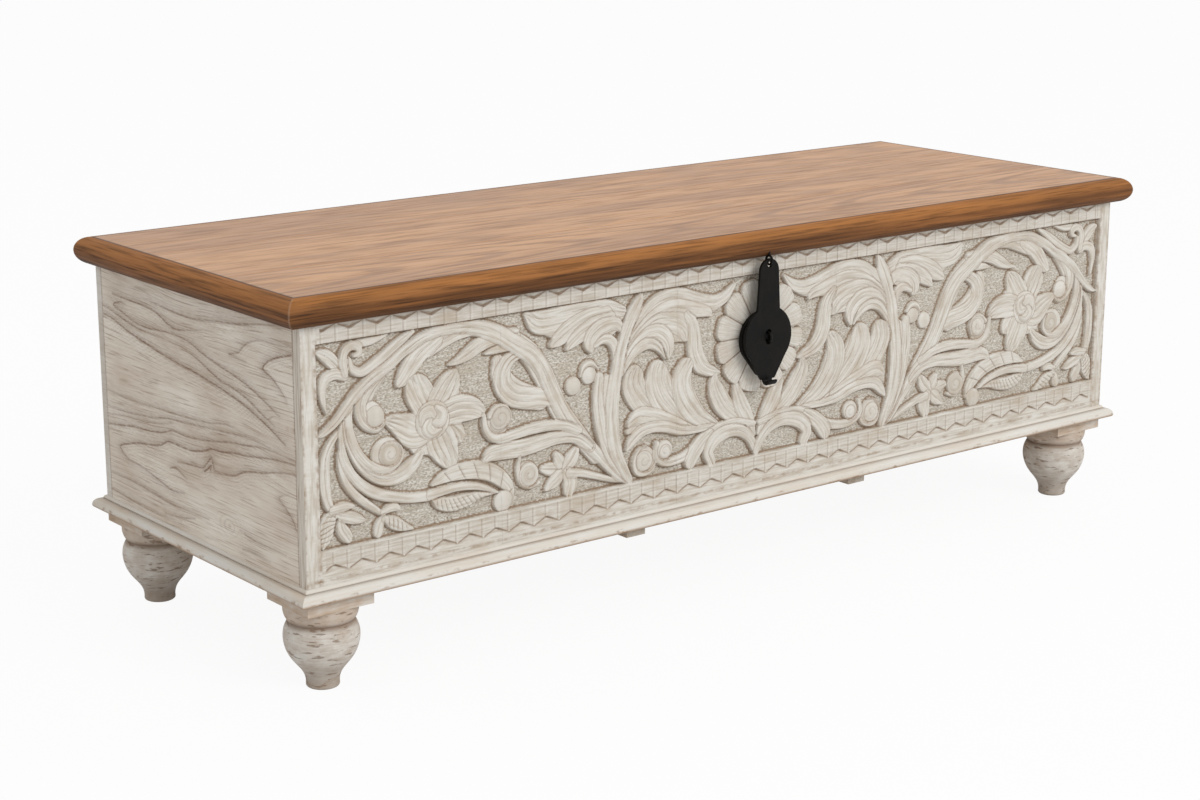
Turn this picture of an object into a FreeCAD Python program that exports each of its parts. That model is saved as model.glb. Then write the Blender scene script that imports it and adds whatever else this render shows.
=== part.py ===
import FreeCAD, Part
import math
import os

V = FreeCAD.Vector

# Carved trunk on four turned feet: a case of five boards, a base moulding, a plank lid on three
# butt hinges and an iron hasp that hangs from the lid. Millimetres, +X right, -Y front, +Z up.

# Case
CASE_LENGTH = 1100.0
CASE_DEPTH = 390.0
WALL_HEIGHT = 258.0
FRONT_THICK = 18.0
BACK_THICK = 18.0
SIDE_THICK = 18.0
FRONT_LAP = 12.0  # thickness of the front board left outside the side boards' ends
BACK_LAP = 10.0
FLOOR_THICK = 12.0
CORNER_DOWEL_R = 4.0
CORNER_DOWEL_IN_LAP = 7.0
CORNER_DOWEL_IN_SIDE = 22.0
CORNER_DOWEL_END_MARGIN = 45.0
CORNER_DOWEL_COUNT = 3

# Carved front: a sunk field inside a plain margin, with a rosette under the lock and leaves round it
STILE_WIDTH = 17.0
FIELD_TOP_MARGIN = 18.5
FIELD_BOTTOM_MARGIN = 47.0
CARVING_DEPTH = 6.0
ROSETTE_CORE_R = 46.0
PETAL_R = 13.0
PETAL_RING_R = 47.0
PETAL_COUNT = 14
CARVING_RISE = 4.6  # of the leaves and stems above the field's floor
CARVING_END_CLEARANCE = 3.0
CARVING_EDGE_CLEARANCE = 1.5
CARVING_DRIFT = 15.0  # how much farther out the right half was carved than the left
CARVING_DRIFT_SHARE = 0.56  # of the half field, where the drift has died away

# Turned feet and the square blocks above them
FOOT_TOE_R = 16.0
FOOT_TOE_ROUND = 2.5
FOOT_NECK_R = 19.0
FOOT_NECK_HEIGHT = 16.0
FOOT_FLARE_R = 29.0
FOOT_FLARE_Z = 13.0  # above the neck
FOOT_BULB_R = 36.2
FOOT_BULB_Z = 33.0  # above the neck
FOOT_BULB_HEIGHT = 51.0
FOOT_COLLAR_R = 35.8
FOOT_COLLAR_HEIGHT = 16.0
FOOT_COLLAR_EDGE = 4.0
FOOT_GROOVE_DEPTH = 4.8
FOOT_GROOVE_STEP = 0.6
SPIGOT_R = 10.0
SPIGOT_IN_FLOOR = 8.0
BLOCK_SIDE = 72.0
BLOCK_THICK = 13.5

# Floor battens, front to back under the floor
FLOOR_BATTEN_WIDTH = 24.0
FLOOR_BATTEN_FROM_END = 394.0
FLOOR_BATTEN_INSET = 9.0

# Base moulding
MOULDING_HEIGHT = 14.0
MOULDING_REACH = 12.0
MOULDING_BEAD = 3.2
MOULDING_QUIRK = 0.7
MOULDING_NOSE_R = 3.0
PIN_R = 0.9
PIN_IN_MOULDING = 5.0
PIN_IN_WALL = 12.0
PIN_END_MARGIN = 60.0
LONG_SIDE_PIN_COUNT = 5
SHORT_SIDE_PIN_COUNT = 3

# Lid
LID_THICK = 28.0
LID_END_OVERHANG = 20.0
LID_FRONT_OVERHANG = 16.0
LID_BACK_OVERHANG = 7.0
FRONT_PLANK_WIDTH = 120.0
MIDDLE_PLANK_WIDTH = 140.0
PLANK_QUIRK = 0.8  # small chamfer round the planks, the fine line inside the nosing
LID_BATTEN_WIDTH = 60.0
LID_BATTEN_THICK = 16.0
LID_BATTEN_FROM_END = 230.0
LID_BATTEN_CLEARANCE = 14.0
LID_SCREW_PITCH = 30.0

# Butt hinges
HINGE_FROM_END = 170.0
HINGE_LENGTH = 64.0
LEAF_WIDTH = 16.0
LEAF_THICK = 1.8
LEAF_GAP = 0.2
KNUCKLE_R = 3.6
KNUCKLE_GAP = 0.4
HINGE_PIN_R = 1.8
HINGE_PIN_CLEARANCE = 0.05
BARREL_CLEARANCE = 1.0

# Hasp, its eye in the lid, and the lock plate and staple on the case
LOCK_HEIGHT = 82.0  # below the lid's underside
LOCK_R = 28.5
LOCK_SET_DOWN = 3.0  # the plate's middle below the staple
LOCK_STEP = 1.8
LOCK_THICK = 11.2
LOCK_FLANGE_THICK = 4.5
LOCK_TAIL_HALF = 5.0
LOCK_TAIL_DROP = 39.0
HASP_THICK = 3.0
HASP_GAP = 0.3
HASP_DISC_R = 32.0
HASP_HEAD_HALF = 12.8
HASP_HEAD_ABOVE_HOLE = 6.0
HASP_SHOULDER_HALF = 15.3
HASP_TAIL_HALF = 9.5
HASP_TAIL_DROP = 44.5
HASP_SLOT_WIDTH = 7.0
HASP_SLOT_HEIGHT = 16.0
HASP_HOLE_R = 3.0
CURL_R = 2.6
CURL_HALF = 6.0
TAIL_ANGLE = 40.0  # degrees below level where the disc runs into the tail
EYE_RING_R = 4.5
EYE_WIRE_R = 1.2
EYE_DROP = 2.0
EYE_SHANK_IN_LID = 12.0
STAPLE_WIRE_R = 1.75
STAPLE_HALF = 4.25
STAPLE_PAST_HASP = 5.5
CLINCH_LENGTH = 12.0

# Screws: countersunk head, plain shank
SCREW_HEAD_R = 3.6
SCREW_HEAD_HEIGHT = 2.4
SCREW_SHANK_R = 1.9
BLOCK_SCREW_IN_WALL = 20.0
BATTEN_SCREW_IN_FLOOR = 9.0
LID_SCREW_IN_PLANK = 18.0
LEAF_SCREW_HEAD_R = 2.6
LEAF_SCREW_HEAD_HEIGHT = 1.2
LEAF_SCREW_SHANK_R = 1.3
LEAF_SCREW_LENGTH = 16.0
LEAF_SCREW_MARGIN = 8.0
LEAF_SCREW_COUNT = 3
BATTEN_SCREW_COUNT = 3

# Levels and faces that follow from the sizes above
half_length = CASE_LENGTH / 2
half_depth = CASE_DEPTH / 2
foot_height = FOOT_NECK_HEIGHT + FOOT_BULB_HEIGHT + FOOT_COLLAR_HEIGHT
base_z = foot_height + BLOCK_THICK
top_z = base_z + WALL_HEIGHT
front_y = -half_depth
back_y = half_depth
nose_r = LID_THICK / 2
plank_half_length = half_length + LID_END_OVERHANG - nose_r
plank_front_y = front_y - LID_FRONT_OVERHANG + nose_r
plank_back_y = back_y + LID_BACK_OVERHANG - nose_r
hinge_y = back_y + KNUCKLE_R + BARREL_CLEARANCE
eye_y = front_y - LOCK_THICK - HASP_GAP - HASP_THICK / 2
eye_z = top_z - EYE_DROP
lock_z = top_z - LOCK_HEIGHT
hinge_x = half_length - HINGE_FROM_END
hinge_places = {"left": -hinge_x, "middle": 0.0, "right": hinge_x}
floor_batten_x = half_length - FLOOR_BATTEN_FROM_END
floor_batten_places = {"left": -floor_batten_x, "right": floor_batten_x}
lid_batten_x = half_length - LID_BATTEN_FROM_END
lid_batten_places = {"left": -lid_batten_x, "right": lid_batten_x}

# The frame's origin is on the floor under the middle of the whole object
front_reach = half_depth + max(LID_FRONT_OVERHANG, LOCK_THICK + HASP_GAP + HASP_THICK * 2 + CURL_R * 2)
back_reach = half_depth + max(LID_BACK_OVERHANG, MOULDING_REACH, BARREL_CLEARANCE + KNUCKLE_R * 2)
centre_shift = (front_reach - back_reach) / 2

nodes = {}


def block(x0, x1, y0, y1, z0, z1):
    return Part.makeBox(x1 - x0, y1 - y0, z1 - z0, V(x0, y0, z0))


def rod(radius, start, end):
    run = end - start
    return Part.makeCylinder(radius, run.Length, start, run)


def line(a, b):
    return Part.LineSegment(a, b).toShape()


def arc(a, middle, b):
    return Part.Arc(a, middle, b).toShape()


def swell(a, b):
    """A round from a to b that stands upright at b, in the upright plane through both."""
    level = V(b.x - a.x, b.y - a.y, 0)
    radius = (level.Length ** 2 + (b.z - a.z) ** 2) / (2 * level.Length)
    centre = b - level * (radius / level.Length)
    outward = (a + b) * 0.5 - centre
    return arc(a, centre + outward * (radius / outward.Length), b)


def solid_of(edges, sweep):
    return Part.Face(Part.Wire(Part.__sortEdges__(edges))).extrude(sweep)


def cut_all(shape, tools):
    return shape.cut(Part.makeCompound(tools))


def countersunk(top, direction, length, head_r, head_height, shank_r):
    """A screw whose flat head lies at top, pointing along direction."""
    head = Part.makeCone(head_r, shank_r, head_height, top, direction)
    neck = top + direction * head_height
    return head.fuse(Part.makeCylinder(shank_r, length - head_height, neck, direction))


def wood_screw(top, direction, length):
    return countersunk(top, direction, length, SCREW_HEAD_R, SCREW_HEAD_HEIGHT, SCREW_SHANK_R)


def spread(low, high, count):
    step = (high - low) / (count - 1)
    return [low + step * i for i in range(count)]


def corners():
    """Name and signs of the four corners, seen from the front."""
    for depth_name, y_sign in (("front", -1), ("back", 1)):
        for side_name, x_sign in (("left", -1), ("right", 1)):
            yield f"{depth_name}_{side_name}", x_sign, y_sign


def mitred(edges, half_run, reach):
    """A strip along X whose section lies outwards along -Y, cut at 45 degrees at both ends."""
    far = half_run + reach
    strip = solid_of(edges, V(2 * far, 0, 0))
    low = min(vertex.Z for vertex in strip.Vertexes) - 1
    high = max(vertex.Z for vertex in strip.Vertexes) + 1
    plan = [V(-half_run, 0, low), V(half_run, 0, low), V(far, -reach, low), V(-far, -reach, low)]
    wedge = Part.Face(Part.makePolygon(plan + plan[:1])).extrude(V(0, 0, high - low))
    return strip.common(wedge)


def ring_of_strips(section, half_x, front, back, reach):
    """The four mitred strips round a rectangle, from a section drawn at a given X."""
    middle = (front + back) / 2
    half_y = (back - front) / 2
    strips = {}
    for name, turn, half_run, offset in (
        ("front", 0, half_x, V(0, front, 0)),
        ("right", 90, half_y, V(half_x, middle, 0)),
        ("back", 180, half_x, V(0, back, 0)),
        ("left", 270, half_y, V(-half_x, middle, 0)),
    ):
        strip = mitred(section(-half_run - reach), half_run, reach)
        strip.rotate(V(0, 0, 0), V(0, 0, 1), turn)
        strip.translate(offset)
        strips[name] = strip
    return strips


# Feet: turned neck, bulb, groove and collar, with a spigot through the block into the floor
def turned_foot(x, y):
    neck_z = FOOT_NECK_HEIGHT
    groove_z = neck_z + FOOT_BULB_HEIGHT
    groove_r = FOOT_COLLAR_R - FOOT_GROOVE_DEPTH
    toe = V(FOOT_TOE_R, 0, FOOT_TOE_ROUND)
    groove = V(groove_r, 0, groove_z)
    curve = Part.BSplineCurve()
    curve.interpolate([
        toe,
        V(FOOT_NECK_R, 0, neck_z),
        V(FOOT_FLARE_R, 0, neck_z + FOOT_FLARE_Z),
        V(FOOT_BULB_R, 0, neck_z + FOOT_BULB_Z),
        groove,
    ])
    collar_low = V(groove_r + FOOT_GROOVE_STEP, 0, groove_z)
    collar_high = V(FOOT_COLLAR_R, 0, foot_height - FOOT_COLLAR_EDGE)
    spigot_z = base_z + SPIGOT_IN_FLOOR
    sole = V(FOOT_TOE_R - FOOT_TOE_ROUND, 0, 0)
    upper = [
        collar_high,
        V(FOOT_COLLAR_R, 0, foot_height),
        V(SPIGOT_R, 0, foot_height),
        V(SPIGOT_R, 0, spigot_z),
        V(0, 0, spigot_z),
        V(0, 0, 0),
        sole,
    ]
    edges = [line(a, b) for a, b in zip(upper, upper[1:])]
    edges += [swell(sole, toe), curve.toShape(), line(groove, collar_low), swell(collar_low, collar_high)]
    outline = Part.Face(Part.Wire(Part.__sortEdges__(edges)))
    foot = outline.revolve(V(0, 0, 0), V(0, 0, 1), 360)
    foot.translate(V(x, y, 0))
    return foot


feet = {}
for corner, x_sign, y_sign in corners():
    foot_x = x_sign * (half_length - BLOCK_SIDE / 2)
    foot_y = y_sign * (half_depth - BLOCK_SIDE / 2)
    feet[corner] = turned_foot(foot_x, foot_y)
    nodes[f"foot_{corner}"] = feet[corner]
spigots = list(feet.values())

# Corner dowels: hidden pegs from the front and back boards into the ends of the side boards
dowels = []
dowel_low = base_z + CORNER_DOWEL_END_MARGIN
dowel_high = top_z - CORNER_DOWEL_END_MARGIN
for corner, x_sign, y_sign in corners():
    lap = FRONT_LAP if y_sign < 0 else BACK_LAP
    joint_y = y_sign * (half_depth - lap)
    peg_x = x_sign * (half_length - SIDE_THICK / 2)
    for peg_z in spread(dowel_low, dowel_high, CORNER_DOWEL_COUNT):
        outer = V(peg_x, joint_y + y_sign * CORNER_DOWEL_IN_LAP, peg_z)
        inner = V(peg_x, joint_y - y_sign * CORNER_DOWEL_IN_SIDE, peg_z)
        dowels.append(rod(CORNER_DOWEL_R, outer, inner))
nodes["corner_dowels"] = Part.makeCompound(dowels)

# Block screws: up through each corner block, one into the long wall and one into the side wall
block_screws = []
screw_in = BLOCK_SIDE - SIDE_THICK / 2 - SCREW_HEAD_R * 2
for corner, x_sign, y_sign in corners():
    wall = FRONT_LAP if y_sign < 0 else BACK_LAP
    for from_side, from_long in ((SIDE_THICK / 2, screw_in), (screw_in, wall / 2)):
        top = V(x_sign * (half_length - from_side), y_sign * (half_depth - from_long), foot_height)
        block_screws.append(wood_screw(top, V(0, 0, 1), BLOCK_THICK + BLOCK_SCREW_IN_WALL))
nodes["block_screws"] = Part.makeCompound(block_screws)

# Moulding pins: headless brads sunk in the moulding and driven into the walls
pins = []
pin_z = base_z + MOULDING_NOSE_R * 2
for pin_x in spread(-half_length + PIN_END_MARGIN, half_length - PIN_END_MARGIN, LONG_SIDE_PIN_COUNT):
    for y_sign in (-1, 1):
        start = V(pin_x, y_sign * (half_depth + PIN_IN_MOULDING), pin_z)
        pins.append(rod(PIN_R, start, V(pin_x, y_sign * (half_depth - PIN_IN_WALL), pin_z)))
for pin_y in spread(-half_depth + PIN_END_MARGIN, half_depth - PIN_END_MARGIN, SHORT_SIDE_PIN_COUNT):
    for x_sign in (-1, 1):
        start = V(x_sign * (half_length + PIN_IN_MOULDING), pin_y, pin_z)
        pins.append(rod(PIN_R, start, V(x_sign * (half_length - PIN_IN_WALL), pin_y, pin_z)))
nodes["base_moulding_pins"] = Part.makeCompound(pins)

# Hinges: two leaves between the back board's top edge and the lid, knuckles behind the case
knuckle = HINGE_LENGTH / 3
hinge_screws_case = []
hinge_screws_lid = []
case_mortises = []
lid_mortises = []
for place, middle in hinge_places.items():
    x0 = middle - HINGE_LENGTH / 2
    x1 = middle + HINGE_LENGTH / 2
    axis_start = V(x0, hinge_y, top_z)
    axis_end = V(x1, hinge_y, top_z)
    inner0 = V(x0 + knuckle, hinge_y, top_z)
    inner1 = V(x1 - knuckle, hinge_y, top_z)
    gap = V(KNUCKLE_GAP, 0, 0)
    pin = rod(HINGE_PIN_R, axis_start, axis_end)
    leaf_in = back_y - LEAF_WIDTH

    # The lower leaf carries the two outer knuckles and grips the pin
    low = top_z - LEAF_GAP / 2 - LEAF_THICK
    lower = block(x0, x1, leaf_in, hinge_y, low, low + LEAF_THICK)
    lower = lower.cut(rod(KNUCKLE_R + KNUCKLE_GAP, inner0 - gap, inner1 + gap))
    lower = lower.fuse([rod(KNUCKLE_R, axis_start, inner0 - gap), rod(KNUCKLE_R, inner1 + gap, axis_end)])
    lower = lower.cut(pin)

    # The upper leaf carries the middle knuckle and turns on the pin
    high = top_z + LEAF_GAP / 2
    upper = block(x0, x1, leaf_in, hinge_y, high, high + LEAF_THICK)
    upper = cut_all(upper, [
        rod(KNUCKLE_R + KNUCKLE_GAP, axis_start, inner0),
        rod(KNUCKLE_R + KNUCKLE_GAP, inner1, axis_end),
    ])
    upper = upper.fuse(rod(KNUCKLE_R, inner0, inner1))
    upper = upper.cut(rod(HINGE_PIN_R + HINGE_PIN_CLEARANCE, axis_start, axis_end))

    case_screws = []
    lid_screws = []
    screw_y = back_y - LEAF_WIDTH / 2
    for screw_x in spread(x0 + LEAF_SCREW_MARGIN, x1 - LEAF_SCREW_MARGIN, LEAF_SCREW_COUNT):
        for group, level, way in ((case_screws, low + LEAF_THICK, -1), (lid_screws, high, 1)):
            group.append(countersunk(V(screw_x, screw_y, level), V(0, 0, way), LEAF_SCREW_LENGTH,
                                     LEAF_SCREW_HEAD_R, LEAF_SCREW_HEAD_HEIGHT, LEAF_SCREW_SHANK_R))
    nodes[f"hinge_lower_leaf_{place}"] = cut_all(lower, case_screws)
    nodes[f"hinge_upper_leaf_{place}"] = cut_all(upper, lid_screws)
    nodes[f"hinge_pin_{place}"] = pin
    hinge_screws_case += case_screws
    hinge_screws_lid += lid_screws
    case_mortises.append(block(x0, x1, leaf_in, back_y, low, top_z))
    lid_mortises.append(block(x0, x1, leaf_in, hinge_y, top_z, high + LEAF_THICK))
nodes["hinge_screws_case"] = Part.makeCompound(hinge_screws_case)
nodes["hinge_screws_lid"] = Part.makeCompound(hinge_screws_lid)

# Lock staple: a wire bow through the lock plate and the front board, clinched inside. It stands out
# past the hasp, so that a padlock goes through it
staple_tip_y = front_y - LOCK_THICK - HASP_GAP - HASP_THICK - STAPLE_PAST_HASP
bow_y = staple_tip_y + STAPLE_HALF + STAPLE_WIRE_R
inside_y = front_y + FRONT_THICK
bow = Part.makeTorus(STAPLE_HALF, STAPLE_WIRE_R, V(0, bow_y, lock_z), V(1, 0, 0))
half_space = block(-STAPLE_WIRE_R * 2, STAPLE_WIRE_R * 2, bow_y - STAPLE_HALF * 2, bow_y,
                   lock_z - STAPLE_HALF * 2, lock_z + STAPLE_HALF * 2)
staple = bow.common(half_space)
leg_end_y = inside_y + STAPLE_WIRE_R
for z_sign in (-1, 1):
    leg_z = lock_z + z_sign * STAPLE_HALF
    knee = V(0, leg_end_y, leg_z)
    staple = staple.fuse([
        rod(STAPLE_WIRE_R, V(0, bow_y, leg_z), knee),
        Part.makeSphere(STAPLE_WIRE_R, knee),
        rod(STAPLE_WIRE_R, knee, knee + V(0, 0, z_sign * CLINCH_LENGTH)),
    ])
nodes["lock_staple"] = staple


def teardrop(middle_z, disc_r, tail_half, tail_drop, start_y, thick):
    """A disc that runs straight into a narrow blunt tail, standing out from start_y to the front."""
    turn = math.radians(TAIL_ANGLE)
    side = V(disc_r * math.cos(turn), start_y, middle_z - disc_r * math.sin(turn))
    tail = V(tail_half, start_y, middle_z - tail_drop)
    mirror = [V(-p.x, p.y, p.z) for p in (side, tail)]
    edges = [
        arc(mirror[0], V(0, start_y, middle_z + disc_r), side),
        line(side, tail),
        line(tail, mirror[1]),
        line(mirror[1], mirror[0]),
    ]
    return solid_of(edges, V(0, -thick, 0))


# Lock plate: a thick iron plate with a stepped rim, seated on the rosette
plate_z = lock_z - LOCK_SET_DOWN
flange = teardrop(plate_z, LOCK_R, LOCK_TAIL_HALF, LOCK_TAIL_DROP, front_y, LOCK_FLANGE_THICK)
raised = teardrop(plate_z, LOCK_R - LOCK_STEP, LOCK_TAIL_HALF - LOCK_STEP, LOCK_TAIL_DROP - LOCK_STEP,
                  front_y, LOCK_THICK)
nodes["lock_plate"] = flange.fuse(raised).removeSplitter().cut(staple)

# The carving's main forms on the carver's drawing: distance from the middle, height and half width
carved_strokes = {
    "vine": [(213, 177, 6), (228, 196, 7), (243, 214, 7), (257, 232, 7), (269, 254, 7.5), (280, 275, 8),
             (294, 294, 8.5), (316, 310, 8.5), (349, 325, 7.5), (392, 330, 4.5), (437, 318, 5.5),
             (486, 290, 5), (526, 254, 3)],
    "stem": [(171, 149, 4), (186, 170, 8), (196, 205, 15), (197, 240, 16), (192, 275, 13), (180, 305, 9),
             (166, 326, 5)],
    "upper_left_leaf": [(192, 322, 5), (222, 321, 9), (255, 316, 13), (285, 324, 6), (296, 331, 2)],
    "lower_left_leaf": [(203, 301, 4), (222, 298, 8), (246, 291, 2.5)],
    "upper_right_leaf": [(150, 317, 5), (130, 320, 12), (105, 319, 13), (80, 313, 11), (64, 312, 8.5),
                         (50, 317, 6), (37, 326, 2)],
    "lower_right_leaf": [(161, 288, 4), (144, 294, 9), (122, 293, 11), (107, 288, 8), (101, 282, 3)],
    "crescent": [(92, 300, 2), (86, 281, 6.5), (84, 266, 8), (71, 246, 6), (57, 240, 2)],
    "palm_outer": [(141, 215, 5), (153, 224, 8), (161, 233, 10), (165, 244, 10), (164, 253, 6)],
    "palm_middle": [(104, 199, 5), (118, 213, 8), (129, 228, 10), (134, 242, 10), (133, 253, 7)],
    "palm_inner": [(77, 195, 4), (89, 209, 6), (99, 225, 8), (103, 240, 9), (98, 251, 6)],
    "palm_low": [(116, 188, 4), (130, 194, 5), (145, 199, 6), (160, 197, 5), (171, 189, 3)],
    "middle_leaf": [(26, 187, 5), (36, 195, 8), (45, 204, 9), (53, 216, 8), (59, 231, 3)],
    "middle_stem": [(130, 160, 3), (120, 156, 4), (100, 157, 4), (79, 170, 5), (57, 181, 4)],
    "middle_arch": [(61, 149, 4), (56, 162, 4), (38, 169, 4), (18, 165, 4), (8, 151, 3)],
    "long_leaf": [(347, 200, 4), (325, 202, 8), (300, 202, 8), (270, 204, 7), (256, 205, 5)],
    "long_stalk": [(349, 234, 3), (342, 221, 4), (325, 218, 4), (295, 220, 4), (263, 219, 3)],
    "paisley": [(319, 290, 5), (325, 283, 7.5), (327, 274, 8.5), (324, 265, 9), (315, 257, 10),
                (300, 251, 9.5), (287, 249, 6)],
    "hanging_leaf": [(346, 309, 4), (364, 304, 5), (386, 296, 2)],
    "hanging_tip": [(425, 308, 5), (432, 300, 8), (442, 286, 3)],
    "scroll": [(497, 250, 4.5), (492, 234, 7), (485, 220, 8), (472, 207, 8.5), (456, 201, 9), (442, 204, 7.5),
               (430, 211, 4)],
    "leaf_stem": [(508, 234, 4), (505, 220, 5.5), (499, 207, 6.5), (488, 194, 6.5), (472, 185, 6.5),
                  (450, 179, 6), (425, 175, 5)],
    "veined_leaf": [(408, 176, 4), (390, 177, 12), (365, 177, 14), (345, 173, 12), (333, 169, 7)],
    "end_leaf": [(519, 242, 3), (524, 230, 4), (525, 214, 5), (525, 198, 5), (521, 184, 3)],
    "low_corner_leaf": [(519, 174, 3), (522, 166, 7), (526, 152, 3)],
    "high_corner_leaf": [(505, 309, 4), (514, 317, 6), (524, 325, 3)],
}
flower_outline = [
    (432, 262), (434, 276), (424, 288), (412, 280), (406, 269), (396, 282), (380, 290), (380, 275),
    (387, 262), (369, 262), (351, 248), (360, 243), (372, 243), (378, 226), (379, 212), (381, 204),
    (386, 198), (393, 210), (405, 219), (423, 222), (436, 236), (448, 245), (460, 249), (447, 258),
    (432, 262),
]
scroll_eyes = [(474, 260, 13), (458, 224, 10), (330, 235, 11), (296, 173, 13), (150, 163, 14), (494, 323, 9),
               (327, 153, 9)]
drawn = [place for stroke in carved_strokes.values() for place in stroke]
drawing_half = max(across + half for across, up, half in drawn) + CARVING_END_CLEARANCE
drawing_low = min(up - half for across, up, half in drawn) - CARVING_EDGE_CLEARANCE
drawing_high = max(up + half for across, up, half in drawn) + CARVING_EDGE_CLEARANCE

# Front board: lapped over the side boards, sunk field, with the carving's main forms left standing
front = block(-half_length, half_length, front_y, inside_y, base_z, top_z)
for x_sign in (-1, 1):
    end = x_sign * half_length
    inner = x_sign * (half_length - SIDE_THICK)
    front = front.cut(block(min(end, inner), max(end, inner), front_y + FRONT_LAP, inside_y, base_z, top_z))
field_floor_y = front_y + CARVING_DEPTH
field_half = half_length - STILE_WIDTH
field_low = base_z + FIELD_BOTTOM_MARGIN
field_high = top_z - FIELD_TOP_MARGIN
front = front.cut(block(-field_half, field_half, front_y, field_floor_y, field_low, field_high))
fit_along = field_half / drawing_half
fit_up = (field_high - field_low) / (drawing_high - drawing_low)


def on_field(across, up, x_sign):
    """A place on the carver's drawing, set out on the field's floor; the right half drifts outwards."""
    if x_sign > 0:
        share = across / drawing_half / CARVING_DRIFT_SHARE
        across += CARVING_DRIFT * math.sin(math.pi * min(1, share))
    z = field_low + (up - drawing_low) * fit_up
    return V(x_sign * across * fit_along, field_floor_y, z)


def arcs_through(points):
    """A chain of arcs: each runs from one point, through the next, to the one after."""
    return [arc(*points[i:i + 3]) for i in range(0, len(points) - 1, 2)]


def stroke_edges(stroke, x_sign):
    """The outline of a stroke: its two edges a half width from the middle line, and its two round tips."""
    middle = [on_field(across, up, x_sign) for across, up, half in stroke]
    halves = [half * fit_up for across, up, half in stroke]
    ahead = [b - a for a, b in zip(middle[:1] + middle[:-1], middle[1:] + middle[-1:])]
    for way in ahead:
        way.normalize()
    left = [p + V(-way.z, 0, way.x) * half for p, way, half in zip(middle, ahead, halves)]
    right = [p - V(-way.z, 0, way.x) * half for p, way, half in zip(middle, ahead, halves)]
    start = middle[0] - ahead[0] * halves[0]
    end = middle[-1] + ahead[-1] * halves[-1]
    end_tip = arc(left[-1], end, right[-1])
    start_tip = arc(right[0], start, left[0])
    return arcs_through(left) + [end_tip] + arcs_through(right[::-1]) + [start_tip]


rosette = rod(ROSETTE_CORE_R, V(0, field_floor_y, lock_z), V(0, front_y, lock_z))
forms = []
for i in range(PETAL_COUNT):
    turn = 2 * math.pi * i / PETAL_COUNT
    centre = V(PETAL_RING_R * math.sin(turn), field_floor_y, lock_z + PETAL_RING_R * math.cos(turn))
    forms.append(rod(PETAL_R, centre, centre - V(0, CARVING_DEPTH, 0)))
carved_rise = V(0, -CARVING_RISE, 0)
for x_sign in (-1, 1):
    for stroke in carved_strokes.values():
        forms.append(solid_of(stroke_edges(stroke, x_sign), carved_rise))
    flower = [on_field(across, up, x_sign) for across, up in flower_outline]
    forms.append(solid_of(arcs_through(flower), carved_rise))
    for across, up, radius in scroll_eyes:
        eye_foot = on_field(across, up, x_sign)
        forms.append(rod(radius * fit_up, eye_foot, eye_foot + carved_rise))
front = front.fuse([rosette] + forms).removeSplitter()
nodes["front_panel"] = cut_all(front, spigots + dowels + block_screws + pins + [staple])

# Back board: lapped the same way, with a mortise for each lower hinge leaf
back = block(-half_length, half_length, back_y - BACK_THICK, back_y, base_z, top_z)
for x_sign in (-1, 1):
    end = x_sign * half_length
    inner = x_sign * (half_length - SIDE_THICK)
    back = back.cut(block(min(end, inner), max(end, inner), back_y - BACK_THICK, back_y - BACK_LAP,
                          base_z, top_z))
back = cut_all(back, spigots + dowels + block_screws + pins)
nodes["back_panel"] = cut_all(back, case_mortises + hinge_screws_case)

# Side boards between the laps
for side_name, x_sign in (("left", -1), ("right", 1)):
    outer_x = x_sign * half_length
    inner_x = x_sign * (half_length - SIDE_THICK)
    side = block(min(outer_x, inner_x), max(outer_x, inner_x), front_y + FRONT_LAP, back_y - BACK_LAP,
                 base_z, top_z)
    nodes[f"side_panel_{side_name}"] = cut_all(side, spigots + dowels + block_screws + pins)

# Floor batten screws: up through each batten into the floor
batten_screws = []
for screw_x in floor_batten_places.values():
    reach = half_depth - FRONT_THICK - BLOCK_SIDE / 2
    for screw_y in spread(-reach, reach, BATTEN_SCREW_COUNT):
        top = V(screw_x, screw_y, foot_height)
        batten_screws.append(wood_screw(top, V(0, 0, 1), BLOCK_THICK + BATTEN_SCREW_IN_FLOOR))
nodes["floor_batten_screws"] = Part.makeCompound(batten_screws)


# Corner blocks: square pads flush with the case, bored for the feet's spigots
for corner, x_sign, y_sign in corners():
    x_ends = sorted((x_sign * half_length, x_sign * (half_length - BLOCK_SIDE)))
    y_ends = sorted((y_sign * half_depth, y_sign * (half_depth - BLOCK_SIDE)))
    pad = block(x_ends[0], x_ends[1], y_ends[0], y_ends[1], foot_height, base_z)
    nodes[f"corner_block_{corner}"] = cut_all(pad, [feet[corner]] + block_screws)

# Floor board between the walls, and the battens under it
floor = block(-half_length + SIDE_THICK, half_length - SIDE_THICK, inside_y, back_y - BACK_THICK,
              base_z, base_z + FLOOR_THICK)
nodes["floor_panel"] = cut_all(floor, spigots + batten_screws + block_screws)
for place, middle in floor_batten_places.items():
    batten = block(middle - FLOOR_BATTEN_WIDTH / 2, middle + FLOOR_BATTEN_WIDTH / 2,
                   front_y + FLOOR_BATTEN_INSET, back_y - FLOOR_BATTEN_INSET, foot_height, base_z)
    nodes[f"floor_batten_{place}"] = cut_all(batten, batten_screws)


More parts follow.
